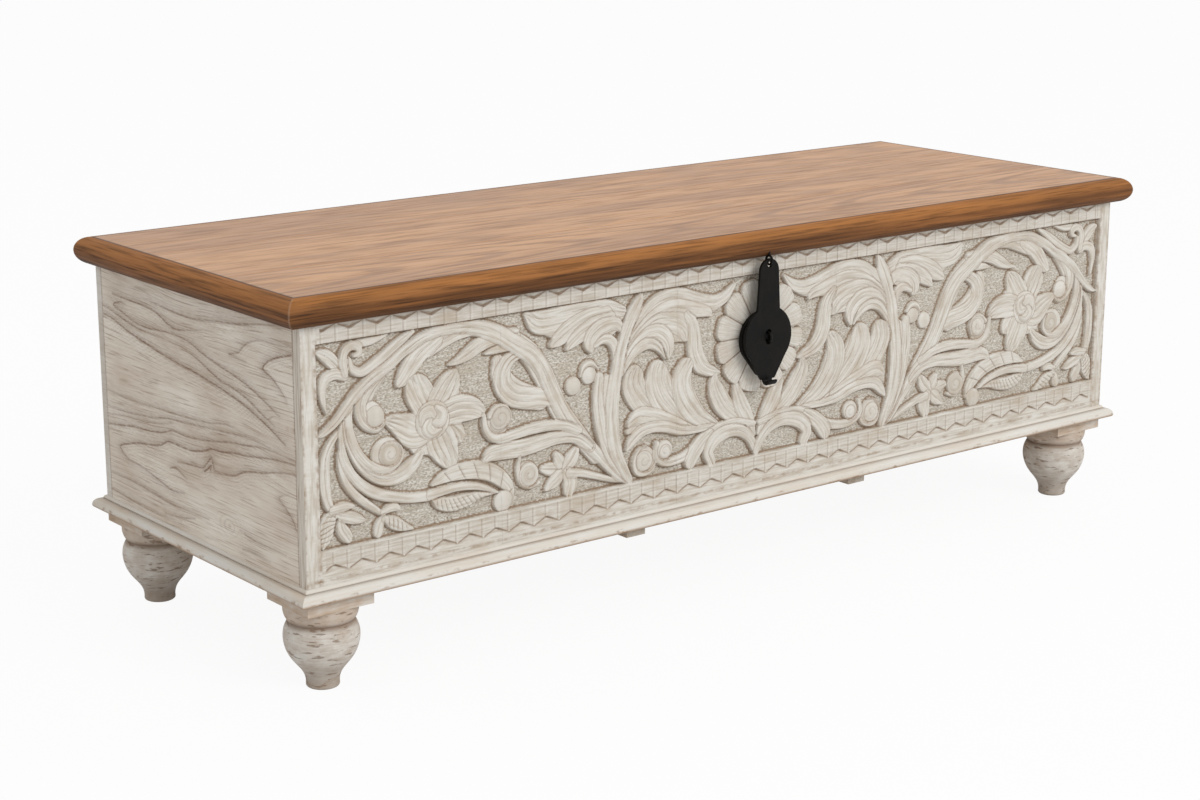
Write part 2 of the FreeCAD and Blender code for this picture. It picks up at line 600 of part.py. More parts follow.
# Base moulding: a bead at the wall, a quirk, a long round and a nose, mitred round the case
def moulding_section(x):
    bead_z = base_z + MOULDING_HEIGHT - MOULDING_BEAD
    bead_top = V(x, 0, base_z + MOULDING_HEIGHT)
    bead_low = V(x, -MOULDING_BEAD, bead_z)
    quirk_in = V(x, -MOULDING_BEAD + MOULDING_QUIRK, bead_z)
    quirk_low = V(x, -MOULDING_BEAD + MOULDING_QUIRK, bead_z - MOULDING_QUIRK)
    nose_tip = V(x, -MOULDING_REACH, base_z + MOULDING_NOSE_R)
    nose_low = V(x, -MOULDING_REACH + MOULDING_NOSE_R, base_z)
    wall_foot = V(x, 0, base_z)
    return [
        swell(bead_top, bead_low),
        line(bead_low, quirk_in),
        line(quirk_in, quirk_low),
        swell(quirk_low, nose_tip),
        swell(nose_low, nose_tip),
        line(nose_low, wall_foot),
        line(wall_foot, bead_top),
    ]


mouldings = ring_of_strips(moulding_section, half_length, front_y, back_y, MOULDING_REACH)
for name, strip in mouldings.items():
    nodes[f"base_moulding_{name}"] = cut_all(strip, pins)

# Lid battens and their screws, on the lid's underside inside the case
lid_batten_front = inside_y + LID_BATTEN_CLEARANCE
lid_batten_back = back_y - BACK_THICK - LID_BATTEN_CLEARANCE
joint_1 = plank_front_y + FRONT_PLANK_WIDTH
joint_2 = joint_1 + MIDDLE_PLANK_WIDTH
lid_screws = []
for place, middle in lid_batten_places.items():
    screw_rows = ((lid_batten_front + joint_1) / 2, (joint_1 + joint_2) / 2, (joint_2 + lid_batten_back) / 2)
    placed = []
    for screw_y in screw_rows:
        for way in (-1, 1):
            top = V(middle + way * LID_SCREW_PITCH / 2, screw_y, top_z - LID_BATTEN_THICK)
            placed.append(wood_screw(top, V(0, 0, 1), LID_BATTEN_THICK + LID_SCREW_IN_PLANK))
    bar = block(middle - LID_BATTEN_WIDTH / 2, middle + LID_BATTEN_WIDTH / 2, lid_batten_front,
                lid_batten_back, top_z - LID_BATTEN_THICK, top_z)
    nodes[f"lid_batten_{place}"] = cut_all(bar, placed)
    lid_screws += placed
nodes["lid_batten_screws"] = Part.makeCompound(lid_screws)

# Lid planks: three boards glued edge to edge, with a fine chamfer round the outer top edges
lid_top = top_z + LID_THICK
quirk_outline = block(-plank_half_length, plank_half_length, plank_front_y, plank_back_y, top_z, lid_top)
rim = [edge for edge in quirk_outline.Edges if edge.BoundBox.ZMin > lid_top - PLANK_QUIRK]
panel = quirk_outline.makeChamfer(PLANK_QUIRK, rim)
plank_edges = {
    "front": (plank_front_y, joint_1),
    "middle": (joint_1, joint_2),
    "back": (joint_2, plank_back_y),
}
for name, (y0, y1) in plank_edges.items():
    plank = panel.common(block(-plank_half_length, plank_half_length, y0, y1, top_z, lid_top))
    nodes[f"lid_plank_{name}"] = cut_all(plank, lid_screws + lid_mortises + hinge_screws_lid)

# Hasp eye: a ring on a shank driven up into the lid's front nosing
ring = Part.makeTorus(EYE_RING_R, EYE_WIRE_R, V(0, eye_y, eye_z), V(1, 0, 0))
shank_low = V(0, eye_y, eye_z + EYE_RING_R)
overhang = front_y - LID_FRONT_OVERHANG + nose_r - eye_y
entry_z = top_z + nose_r - math.sqrt(max(nose_r ** 2 - overhang ** 2, 0))
shank = rod(EYE_WIRE_R, shank_low, V(0, eye_y, entry_z + EYE_SHANK_IN_LID))
eye = ring.fuse(shank)
nodes["hasp_eye"] = eye


# Lid nosing: half-round strips glued round the planks and mitred at the corners
def nosing_section(x):
    high = V(x, 0, lid_top)
    low = V(x, 0, top_z)
    return [arc(low, V(x, -nose_r, top_z + nose_r), high), line(high, low)]


nosings = ring_of_strips(nosing_section, plank_half_length, plank_front_y, plank_back_y, nose_r)
for name, strip in nosings.items():
    nodes[f"lid_nosing_{name}"] = cut_all(strip, lid_mortises + hinge_screws_lid + [eye])

# Hasp strap: flat iron with a round head on the eye, a slotted disc and a tail rolled at its end
strap_back_y = eye_y + HASP_THICK / 2
strap_front_y = strap_back_y - HASP_THICK
hole_z = eye_z - EYE_RING_R
head_z = hole_z + HASP_HEAD_ABOVE_HOLE - HASP_HEAD_HALF
shoulder_z = lock_z + math.sqrt(HASP_DISC_R ** 2 - HASP_SHOULDER_HALF ** 2)
strap = solid_of([
    arc(V(-HASP_HEAD_HALF, strap_back_y, head_z), V(0, strap_back_y, head_z + HASP_HEAD_HALF),
        V(HASP_HEAD_HALF, strap_back_y, head_z)),
    line(V(HASP_HEAD_HALF, strap_back_y, head_z), V(HASP_SHOULDER_HALF, strap_back_y, shoulder_z)),
    line(V(HASP_SHOULDER_HALF, strap_back_y, shoulder_z), V(HASP_SHOULDER_HALF, strap_back_y, lock_z)),
    line(V(HASP_SHOULDER_HALF, strap_back_y, lock_z), V(-HASP_SHOULDER_HALF, strap_back_y, lock_z)),
    line(V(-HASP_SHOULDER_HALF, strap_back_y, lock_z), V(-HASP_SHOULDER_HALF, strap_back_y, shoulder_z)),
    line(V(-HASP_SHOULDER_HALF, strap_back_y, shoulder_z), V(-HASP_HEAD_HALF, strap_back_y, head_z)),
], V(0, -HASP_THICK, 0))
disc = teardrop(lock_z, HASP_DISC_R, HASP_TAIL_HALF, HASP_TAIL_DROP, strap_back_y, HASP_THICK)
strap = strap.fuse(disc)
tail_z = lock_z - HASP_TAIL_DROP
curl_y = strap_front_y - CURL_R
curl_start = V(-CURL_HALF, curl_y, tail_z)
curl_end = V(CURL_HALF, curl_y, tail_z)
curl = rod(CURL_R + HASP_THICK, curl_start, curl_end).cut(rod(CURL_R, curl_start, curl_end))
above = block(-CURL_HALF, CURL_HALF, curl_y - CURL_R - HASP_THICK, strap_back_y, tail_z,
              tail_z + CURL_R + HASP_THICK)
strap = strap.fuse(curl.cut(above))
slot_end = (HASP_SLOT_HEIGHT - HASP_SLOT_WIDTH) / 2
slot_r = HASP_SLOT_WIDTH / 2
slot = block(-slot_r, slot_r, strap_front_y, strap_back_y, lock_z - slot_end, lock_z + slot_end)
for z_sign in (-1, 1):
    z = lock_z + z_sign * slot_end
    slot = slot.fuse(rod(slot_r, V(0, strap_front_y, z), V(0, strap_back_y, z)))
hole = rod(HASP_HOLE_R, V(0, strap_front_y, hole_z), V(0, strap_back_y, hole_z))
nodes["hasp_strap"] = cut_all(strap.removeSplitter(), [slot, hole])

os.makedirs("parts", exist_ok=True)
for name, shape in nodes.items():
    shape.translate(V(0, centre_shift, 0))
    shape.exportStep(f"parts/{name}.step")
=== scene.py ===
import bmesh
import bpy
import numpy as np
from mathutils import Matrix


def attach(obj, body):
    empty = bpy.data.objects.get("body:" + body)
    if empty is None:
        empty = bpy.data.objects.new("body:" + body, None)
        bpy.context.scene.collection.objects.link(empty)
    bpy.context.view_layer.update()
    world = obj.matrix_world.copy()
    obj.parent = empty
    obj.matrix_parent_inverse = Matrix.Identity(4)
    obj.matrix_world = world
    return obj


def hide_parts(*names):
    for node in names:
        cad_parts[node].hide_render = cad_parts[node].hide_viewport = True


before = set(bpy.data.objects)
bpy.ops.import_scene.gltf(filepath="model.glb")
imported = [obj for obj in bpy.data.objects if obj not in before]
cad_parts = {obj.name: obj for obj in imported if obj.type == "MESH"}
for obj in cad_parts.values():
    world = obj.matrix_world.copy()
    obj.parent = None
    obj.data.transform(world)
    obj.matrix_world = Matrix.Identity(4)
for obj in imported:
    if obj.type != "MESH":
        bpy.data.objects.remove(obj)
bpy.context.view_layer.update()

# Feet: four bulbs turned from hardwood, each with a collar above a groove and a thin toe. A spigot goes up
# through the corner block and is glued into the floor. The whitewash was rubbed back while it was wet, so
# brown shows in the groove and in small nicks, and painted shade darkens the foot towards its toe.
white_paint = (216, 213, 206)
worn_paint = (178, 165, 150)
brown_ground = (140, 118, 97)
turned_worn = (170, 151, 133)
groove_brown = (126, 102, 82)
collar_brown = (176, 146, 117)
toe_painted_shade = (132, 112, 94)
nick_brown = (116, 92, 70)
groove_z = 0.067
toe_z = 0.004, 0.04
ends = ("front_left", "front_right", "back_left", "back_right")


def tone(r, g, b):
    """The linear colour of an sRGB one: ((c / 255 + 0.055) / 1.055) ^ 2.4 for each channel."""
    share = (np.array((r, g, b)) / 255.0 + 0.055) / 1.055
    return (*(float(c) for c in share ** 2.4), 1.0)


def add_node(tree, kind, inputs=(), **settings):
    """A shader node with its settings made, and each input wired from a socket or set to a value."""
    node = tree.nodes.new("ShaderNode" + kind)
    for name, value in settings.items():
        setattr(node, name, value)
    for name, value in dict(inputs).items():
        if isinstance(value, bpy.types.NodeSocket):
            tree.links.new(value, node.inputs[name])
        else:
            node.inputs[name].default_value = value
    return node


def empty_tree(owner):
    """The node tree of a material or a world, switched on and emptied."""
    owner.use_nodes = True
    owner.node_tree.nodes.clear()
    return owner.node_tree


def new_finish(name, roughness, specular):
    """A material with one Principled shader, whose even values are set on its sockets."""
    finish = bpy.data.materials.new(name)
    tree = empty_tree(finish)
    shader = add_node(tree, "BsdfPrincipled", {"Roughness": roughness, "Specular IOR Level": specular})
    add_node(tree, "OutputMaterial", {"Surface": shader.outputs[0]})
    return finish, tree, shader


def noise_at(tree, place, detail, roughness=0.6):
    """Noise at a place, about one wave to each unit of it."""
    return add_node(tree, "TexNoise", {"Vector": place, "Scale": 1.0, "Detail": detail,
                                       "Roughness": roughness}).outputs["Fac"]


def speckle(tree, scale, detail=4.0):
    """Noise in Object coordinates, stretched by a scale per metre on each axis."""
    place = add_node(tree, "TexCoord").outputs["Object"]
    return noise_at(tree, add_node(tree, "Mapping", {"Vector": place, "Scale": scale}).outputs[0], detail)


def between(tree, value, low, high, to_low=0.0, to_high=1.0):
    """The value carried from low..high to to_low..to_high, smoothly and no further."""
    return add_node(tree, "MapRange", {"Value": value, "From Min": low, "From Max": high,
                                       "To Min": to_low, "To Max": to_high},
                    interpolation_type="SMOOTHSTEP").outputs["Result"]


def combined(tree, a, b, operation="ADD"):
    """Two values added, or worked together by another Math operation."""
    return add_node(tree, "Math", {0: a, 1: b}, operation=operation).outputs[0]


def times(tree, a, b):
    """Two values multiplied."""
    return combined(tree, a, b, "MULTIPLY")


def size_of(tree, value):
    """The value without its sign."""
    return combined(tree, value, 0.0, "ABSOLUTE")


def place_of(tree):
    """The x, y and z of a point, in Object coordinates."""
    return add_node(tree, "SeparateXYZ", {0: add_node(tree, "TexCoord").outputs["Object"]}).outputs


def over(tree, share, under, upper):
    """Colour upper laid over colour under by a share from 0 to 1."""
    return add_node(tree, "Mix", {"Factor": share, "A": under, "B": upper},
                    data_type="RGBA").outputs["Result"]


def roughened(tree, shader, height, depth):
    """A bump of that height map on the shader, depth in metres."""
    bump = add_node(tree, "Bump", {"Height": height, "Distance": depth, "Strength": 1.0})
    tree.links.new(bump.outputs[0], shader.inputs["Normal"])


def whitewash(name, fine, broad, thinness, spread, white=white_paint, worn=worn_paint):
    """Rubbed whitewash: white paint thinned towards a worn tone. How thin is the mean thinness, plus
    spread times fine streaks along the grain and broad soft patches; brown wood shows where it is
    thinnest."""
    finish, tree, shader = new_finish(name, 0.72, 0.3)
    lines = speckle(tree, fine, 5.0)
    patches = speckle(tree, broad, 3.0)
    streaks = times(tree, combined(tree, lines, 0.5, "SUBTRACT"), 1.3 * spread)
    clouds = times(tree, combined(tree, patches, 0.5, "SUBTRACT"), 2.0 * spread)
    thin = combined(tree, combined(tree, streaks, clouds), thinness)
    colour = over(tree, between(tree, thin, 0.0, 1.0), tone(*white), tone(*worn))
    colour = over(tree, between(tree, thin, 0.8, 1.5), colour, tone(*brown_ground))
    roughened(tree, shader, lines, 0.0005)
    tree.links.new(colour, shader.inputs["Base Color"])
    return finish, tree, shader, colour


def finish_nodes(finish, *names):
    """The named CAD nodes take that finish alone."""
    for name in names:
        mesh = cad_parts[name].data
        mesh.materials.clear()
        mesh.materials.append(finish)


def turned_whitewash(name):
    """Whitewash on turned wood: brown in the groove that fades over 6 mm, a browner collar above it, painted
    shade that darkens the lowest part towards the toe, and dark nicks where a noise is high."""
    finish, tree, shader, colour = whitewash(name, (40, 40, 520), (60, 60, 90), 0.42, 0.5,
                                             worn=turned_worn)
    height = place_of(tree)[2]
    from_groove = size_of(tree, combined(tree, height, groove_z, "SUBTRACT"))
    colour = over(tree, between(tree, from_groove, 0.0, 0.006, 0.8, 0.0), colour, tone(*groove_brown))
    # Painted shade: the foot darkens towards its toe.
    colour = over(tree, between(tree, height, *toe_z, 0.5, 0.0), colour, tone(*toe_painted_shade))
    collar = between(tree, height, groove_z, groove_z + 0.006, 0.0, 0.42)
    colour = over(tree, collar, colour, tone(*collar_brown))
    nicks = between(tree, speckle(tree, (70, 70, 330), 3.0), 0.57, 0.65, 0.0, 0.68)
    colour = over(tree, nicks, colour, tone(*nick_brown))
    tree.links.new(colour, shader.inputs["Base Color"])
    return finish


finish_nodes(turned_whitewash("turned_whitewash"), *(f"foot_{end}" for end in ends))

# Corner blocks: square plates of the same wood between the feet and the case, with two steel screws up
# through each into the walls. They are whitewashed with the case, and the saw's lines show on their edges.
sawn_worn = (186, 164, 142)
steel_pale = (150, 147, 140)
steel_dark = (105, 100, 92)

sawn_white = whitewash("sawn_whitewash", (30, 30, 400), (30, 30, 40), 0.68, 0.8, worn=sawn_worn)[0]
finish_nodes(sawn_white, *(f"corner_block_{end}" for end in ends))

steel_finish, steel_tree, steel_shader = new_finish("dull_steel", 0.45, 0.5)
steel_shader.inputs["Metallic"].default_value = 1.0
steel_tint = between(steel_tree, speckle(steel_tree, (300, 300, 300)), 0.3, 0.7)
steel_tree.links.new(over(steel_tree, steel_tint, tone(*steel_pale), tone(*steel_dark)),
                     steel_shader.inputs["Base Color"])
finish_nodes(steel_finish, "block_screws")

# Floor board and the two battens under it: plain sawn boards, left bare inside and thinly
# washed below. The floor lies between the walls, and the battens are screwed up into it.
bare_pale = (196, 164, 124)
bare_dark = (150, 112, 74)


def bare_wood(name, fine, broad):
    """Unfinished wood: a pale tone darkened along fine streaks and in broad bands."""
    finish, tree, shader = new_finish(name, 0.8, 0.25)
    lines = speckle(tree, fine, 6.0)
    bands = speckle(tree, broad, 2.0)
    share = between(tree, combined(tree, lines, bands), 0.75, 1.3)
    tree.links.new(over(tree, share, tone(*bare_pale), tone(*bare_dark)), shader.inputs["Base Color"])
    roughened(tree, shader, lines, 0.0004)
    return finish


inside_wood = bare_wood("bare_wood_lengthwise", (5, 160, 160), (2, 22, 22))
across_wood = bare_wood("bare_wood_crosswise", (160, 5, 160), (22, 2, 22))
finish_nodes(inside_wood, "floor_panel")
batten_white = whitewash("batten_whitewash", (160, 6, 160), (20, 8, 20), 0.85, 0.9)[0]
finish_nodes(batten_white, "floor_batten_left", "floor_batten_right")
finish_nodes(steel_finish, "floor_batten_screws")

# Side boards: one wide plain-sawn board at each end, set in the laps of the front and back boards and
# dowelled. The growth rings run out in long pointed arches past a small burl, brown under the whitewash.
side_half = 0.532, 0.550
side_y = -0.17765, 0.19035
wall_z = 0.0965, 0.3545
figure_step = 1.2
back_face = 200.35
burl_run, burl_rise = 253.0, 138.0
side_paint = (233, 225, 213)
side_worn = (188, 171, 152)
grain_brown = (142, 116, 95)
ring_brown = (110, 77, 52)
inside_dark = (158, 120, 82)


def new_piece(name, data):
    """An object that shows that data, put in the scene."""
    piece = bpy.data.objects.new(name, data)
    bpy.context.scene.collection.objects.link(piece)
    return piece


def board_mesh(name, u, v, face, back, place, smooth=True, **shades):
    """A closed board on a grid of u along and v up: the face stands at face(u, v), the walls run
    straight from its rim to the back, and the back is a fan about its middle. place gives x, y and z
    from u, v and height, and each shade is a value per grid point kept as an attribute."""
    rows, columns = face.shape
    grid_u, grid_v = np.meshgrid(u, v)
    number = np.arange(rows * columns).reshape(rows, columns)
    rim = np.concatenate((number[0, :-1], number[:-1, -1], number[-1, :0:-1], number[:0:-1, 0]))
    rim_u = grid_u.ravel()[rim]
    rim_v = grid_v.ravel()[rim]
    all_u = np.concatenate((grid_u.ravel(), rim_u, [rim_u.mean()]))
    all_v = np.concatenate((grid_v.ravel(), rim_v, [rim_v.mean()]))
    height = np.concatenate((face.ravel(), np.full(len(rim) + 1, back)))
    below = rows * columns + np.arange(len(rim))
    after = np.roll(below, -1)
    quads = np.stack((number[:-1, :-1], number[:-1, 1:], number[1:, 1:], number[1:, :-1]), -1).reshape(-1, 4)
    walls = np.stack((rim, below, after, np.roll(rim, -1)), -1)
    fan = np.stack((after, below, np.full(len(rim), len(all_u) - 1)), -1)
    mesh = bpy.data.meshes.new(name)
    points = np.stack(place(all_u, all_v, height), -1)
    mesh.from_pydata(points, [], np.vstack((quads, walls)).tolist() + fan.tolist())
    rounded = np.zeros(len(mesh.polygons), bool)
    rounded[:len(quads)] = smooth
    mesh.polygons.foreach_set("use_smooth", rounded)
    for shade, values in shades.items():
        column = mesh.attributes.new(shade, "FLOAT", "POINT")
        rest = np.concatenate((values.ravel(), values.ravel()[rim], [values.mean()]))
        column.data.foreach_set("value", rest.astype(np.float32))
    return new_piece(name, mesh)


def smooth_line(points, per_span=9):
    """A smooth line through points of three values: on each span the cubic that leaves and meets its
    ends along the line between their neighbours."""
    p = np.asarray(points, float)
    p = np.vstack((2 * p[0] - p[1], p, 2 * p[-1] - p[-2]))
    t = np.linspace(0.0, 1.0, per_span, endpoint=False)[None, :, None]
    a, b, c, d = (p[i:len(p) - 3 + i, None, :] for i in range(4))
    line = 0.5 * (2 * b + (c - a) * t + (2 * a - 5 * b + 4 * c - d) * t ** 2
                  + (3 * b - a - 3 * c + d) * t ** 3)
    return np.vstack((line.reshape(-1, 3), p[-2]))


def beside(line, half, across, up, reach):
    """The rows and columns of a grid within reach of a line, and for each point there the number of
    the line's nearest point, distance counted in half widths, that distance, and how far the point
    lies to the left of the line and ahead of that nearest point."""
    columns = slice(*np.searchsorted(across, (line[:, 0].min() - reach, line[:, 0].max() + reach)))
    rows = slice(*np.searchsorted(up, (line[:, 1].min() - reach, line[:, 1].max() + reach)))
    du = (across[columns][None, :, None] - line[:, 0]).astype(np.float32)
    dv = (up[rows][:, None, None] - line[:, 1]).astype(np.float32)
    gaps = np.sqrt(du * du + dv * dv) / half.astype(np.float32)
    near = gaps.argmin(-1)
    gap = np.take_along_axis(gaps, near[..., None], -1)[..., 0]
    run = np.gradient(line[:, :2], axis=0)
    run /= np.maximum(np.linalg.norm(run, axis=1, keepdims=True), 1e-6)
    off_u = across[columns] - line[near, 0]
    off_v = up[rows][:, None] - line[near, 1]
    left = run[near, 0] * off_v - run[near, 1] * off_u
    ahead = run[near, 0] * off_u + run[near, 1] * off_v
    return rows, columns, near, gap, left, ahead


# Ring lines of the board, as (mm from the back face, mm above the floor, strength).
ring_lines = (
    [(10, 304, 0.8), (32, 302, 0.9), (61, 295, 1), (93, 290, 1), (125, 285, 1), (159, 281, 0.9),
     (193, 278, 1), (226, 274, 1), (260, 269, 1), (288, 264, 1), (314, 257, 1), (336, 250, 1),
     (359, 241, 0.7)],
    [(11, 313, 0.6), (30, 310, 0.8), (52, 306, 0.9), (75, 302, 0.9), (103, 300, 0.7), (136, 300, 0.5),
     (170, 298, 0.5), (198, 293, 0.7), (221, 286, 0.9), (243, 280, 0.9), (271, 276, 0.9), (297, 270, 0.9),
     (319, 262, 0.8), (342, 255, 0.5)],
    [(64, 323, 0.1), (50, 322, 0.7), (35, 317, 0.9), (55, 312, 0.9), (77, 307, 0.8), (103, 305, 0.9),
     (131, 307, 0.8), (159, 308, 0.7), (187, 306, 0.8), (210, 300, 0.9), (238, 294, 0.8), (271, 289, 0.9),
     (299, 283, 0.9), (328, 274, 0.8), (350, 266, 0.6)],
    [(35, 328, 0.7), (63, 327, 0.9), (91, 327, 0.9), (117, 325, 0.9), (134, 321, 1), (148, 316, 1),
     (165, 314, 0.9), (187, 317, 0.6), (215, 322, 0.4), (243, 325, 0.2)],
    [(94, 335, 0.3), (131, 332, 0.7), (165, 330, 0.8), (198, 330, 0.8), (232, 334, 0.7), (260, 337, 0.8),
     (288, 340, 0.8), (316, 345, 0.6), (344, 349, 0.5), (364, 351, 0.3)],
    [(294, 306, 0.3), (279, 307, 0.5), (264, 308, 0.7), (280, 312, 0.7), (291, 320, 0.7), (302, 326, 0.6),
     (322, 331, 0.5), (350, 332, 0.5), (375, 334, 0.4)],
    [(364, 284, 0.5), (350, 294, 0.8), (339, 300, 0.9), (325, 305, 1), (333, 313, 1), (350, 320, 1),
     (375, 327, 0.9)],
    [(13, 225, 0.4), (60, 224, 0.6), (108, 226, 0.6), (148, 228, 0.7), (187, 230, 0.7), (221, 233, 0.6),
     (254, 238, 0.5), (288, 236, 0.3)],
    [(13, 208, 0.5), (60, 210, 0.7), (108, 215, 0.7), (136, 220, 0.8), (170, 223, 0.8), (204, 226, 0.7),
     (238, 229, 0.7), (271, 232, 0.7), (300, 234, 0.6), (356, 230, 0.3)],
    [(11, 199, 0.4), (46, 204, 0.6), (86, 207, 0.6), (122, 212, 0.6), (148, 217, 0.4)],
    [(11, 189, 0.7), (41, 193, 0.9), (66, 197, 0.9), (103, 200, 0.9), (128, 204, 0.9), (148, 210, 0.8),
     (173, 210, 0.7), (198, 212, 0.8), (232, 217, 0.8), (260, 222, 0.8), (288, 225, 0.8), (316, 229, 0.6),
     (375, 230, 0.4)],
    [(165, 150, 0.4), (142, 148, 0.8), (117, 152, 0.8), (94, 156, 0.7), (72, 159, 0.7), (49, 161, 0.7),
     (35, 170, 0.9), (52, 176, 0.9), (77, 182, 0.9), (103, 186, 0.9), (122, 190, 0.9), (139, 197, 1),
     (165, 197, 0.9), (187, 198, 0.9), (210, 203, 1), (224, 208, 1), (243, 209, 0.9), (266, 213, 0.9),
     (288, 215, 0.8), (314, 219, 0.8), (342, 223, 0.8), (377, 225, 0.6)],
    [(156, 180, 0.5), (181, 183, 0.7), (204, 185, 0.8), (213, 191, 0.9), (222, 198, 1), (226, 192, 0.9),
     (229, 186, 0.6), (249, 188, 0.7), (266, 191, 0.8), (283, 198, 0.9), (300, 202, 0.8), (322, 206, 0.8),
     (342, 211, 0.7), (377, 217, 0.5)],
    [(208, 182, 1), (216, 187, 1), (222, 191, 0.9), (219, 185, 0.7)],
    [(139, 170, 0.5), (150, 173, 0.8), (161, 170, 0.7), (172, 166, 0.4)],
    [(13, 138, 0.5), (60, 138, 0.7), (97, 136, 0.7), (136, 133, 0.8), (170, 134, 0.5), (212, 135, 0.4)],
    [(125, 120, 0.4), (159, 124, 0.7), (184, 129, 0.5)],
    [(13, 120, 0.5), (46, 118, 0.7), (83, 116, 0.6), (117, 116, 0.5), (156, 119, 0.2)],
    [(274, 138, 0.5), (299, 135, 0.7), (353, 135, 0.3)],
    [(277, 121, 0.5), (299, 122, 0.6), (325, 121, 0.3)],
    [(375, 163, 0.6), (370, 171, 0.8), (358, 180, 0.7), (346, 188, 0.5), (364, 195, 0.3)],
)


def drawn_rings(across, up):
    """How strongly ring lines show at each point. A line is exp(-(d / 1.2)^2) of the distance d to it, and
    the late wood fades as 0.55 exp(-d / 5.5) above it, with fine echoes 3.2 mm apart; round the burl there
    are faint ripples that fall off as a bell, and a dark line stands along both upright edges, where the
    board meets its neighbours."""
    shade = np.zeros((len(up), len(across)))
    for points in ring_lines:
        line = smooth_line(points, 12)
        rows, columns, near, gap, left, ahead = beside(line, np.ones(len(line)), across, up, 24.0)
        pace = np.linalg.norm(np.diff(line[:, :2], axis=0), axis=1).max()
        gap = np.where(np.abs(ahead) < 0.6 * pace, np.abs(left), gap)
        fade = 0.55 * np.exp(-gap / 5.5) * (left > 0.0)
        echo = 0.5 * (0.5 + 0.5 * np.cos(2.0 * np.pi * gap / 3.2)) ** 4 * np.exp(-gap / 11.0)
        dark = np.maximum(np.exp(-(gap / 1.2) ** 2), np.maximum(fade, echo))
        shade[rows, columns] = np.maximum(shade[rows, columns], line[near, 2] * dark)
    away = np.hypot((across[None, :] - burl_run) / 1.6, up[:, None] - burl_rise)
    ripple = (0.5 + 0.5 * np.sin(away * 1.3 + 0.05 * across[None, :])) ** 3 * np.exp(-(away / 14.0) ** 2)
    edge = np.minimum(across - across[0], across[-1] - across)
    joint = np.repeat(0.85 * np.exp(-(edge / 1.3) ** 2)[None, :], len(up), 0)
    return np.maximum(np.maximum(shade, 0.3 * ripple), joint)


def straightened(across, up):
    """The height of each point if the ring lines were pulled level: up less the lines' offset from their
    mean height there, the nearer lines counting more, as 1 / (8 + distance)^2."""
    offset = np.zeros((len(up), len(across)))
    total = np.full(offset.shape, 1e-5)
    for points in ring_lines:
        run, rise = np.transpose(points)[:2]
        if np.all(np.diff(run) > 0.0):
            level = np.interp(across, run, rise)
            weight = 1.0 / (8.0 + np.abs(up[:, None] - level)) ** 2
            offset += weight * (level - level.mean())
            total += weight
    return up[:, None] - offset / total


def attribute(tree, name):
    """The value that a mesh keeps for each of its points under that name."""
    return add_node(tree, "Attribute", attribute_name=name).outputs["Fac"]


def noise_along(tree, aside, ahead, detail, roughness=0.6):
    """Noise that follows a grain, by a place aside from it and a place ahead along it."""
    place = add_node(tree, "CombineXYZ", {0: aside, 1: ahead}).outputs[0]
    return noise_at(tree, place, detail, roughness)


def bare_inside(tree, fine):
    """The colour of an unpainted inner face, streaked along the grain."""
    streaks = between(tree, speckle(tree, fine, 6.0), 0.3, 0.7)
    return over(tree, streaks, tone(*bare_pale), tone(*inside_dark))


def figured_whitewash(name, inner):
    """Whitewash over strong figure: fine grain that follows the rings (flow), brown where the ring lines
    show (figure), broken up by noise, and bare wood on the inner face, nearer than inner to the middle."""
    finish, tree, shader, colour = whitewash(name, (40, 12, 420), (14, 9, 20), 0.44, 0.55, side_paint,
                                             side_worn)
    place = place_of(tree)
    grain = noise_along(tree, times(tree, attribute(tree, "flow"), 0.75), times(tree, place[1], 15.0), 4.0,
                        0.62)
    colour = over(tree, between(tree, grain, 0.52, 0.65, 0.0, 0.55), colour, tone(*grain_brown))
    broken = between(tree, speckle(tree, (9, 150, 700)), 0.36, 0.58, 0.6, 1.0)
    colour = over(tree, times(tree, attribute(tree, "figure"), broken), colour, tone(*ring_brown))
    inside = combined(tree, size_of(tree, place[0]), inner, "LESS_THAN")
    colour = over(tree, inside, colour, bare_inside(tree, (160, 5, 160)))
    tree.links.new(colour, shader.inputs["Base Color"])
    return finish


side_white = figured_whitewash("side_whitewash", side_half[0] + 0.0004)
side_run = np.linspace(*(back_face - 1000.0 * y for y in side_y[::-1]),
                       int(1000.0 * (side_y[1] - side_y[0]) / figure_step) + 1)
side_rise = np.linspace(1000.0 * wall_z[0], 1000.0 * wall_z[1],
                        int(1000.0 * (wall_z[1] - wall_z[0]) / figure_step) + 1)
side_rings = drawn_rings(side_run, side_rise)
side_flow = straightened(side_run, side_rise)
side_flat = np.full(side_rings.shape, side_half[1])
side_ways = (("left", -1.0, (side_run - back_face) / 1000.0, side_rings, side_flow),
             ("right", 1.0, (back_face - side_run[::-1]) / 1000.0, side_rings[:, ::-1], side_flow[:, ::-1]))
for side_name, way, side_u, rings, flow in side_ways:
    side_board = board_mesh(f"side_board_{side_name}", side_u, side_rise / 1000.0, side_flat, side_half[0],
                            lambda u, v, w, way=way: (way * w, way * u, v), figure=rings, flow=flow)
    side_board.data.materials.append(side_white)
    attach(side_board, "case")
    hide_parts(f"side_panel_{side_name}")
finish_nodes(inside_wood, "corner_dowels")

# Back board: one plain board, rebated at its ends over the side boards and dowelled to them.
# It is whitewashed outside and bare inside.
back_inner_y = 0.1828
back_white, back_tree, back_shader, back_colour = whitewash("back_whitewash", (14, 40, 520), (4, 9, 16),
                                                            0.42, 0.55)
back_inside = combined(back_tree, place_of(back_tree)[1], back_inner_y, "LESS_THAN")
back_colour = over(back_tree, back_inside, back_colour, bare_inside(back_tree, (5, 160, 160)))
back_tree.links.new(back_colour, back_shader.inputs["Base Color"])
finish_nodes(back_white, "back_panel")

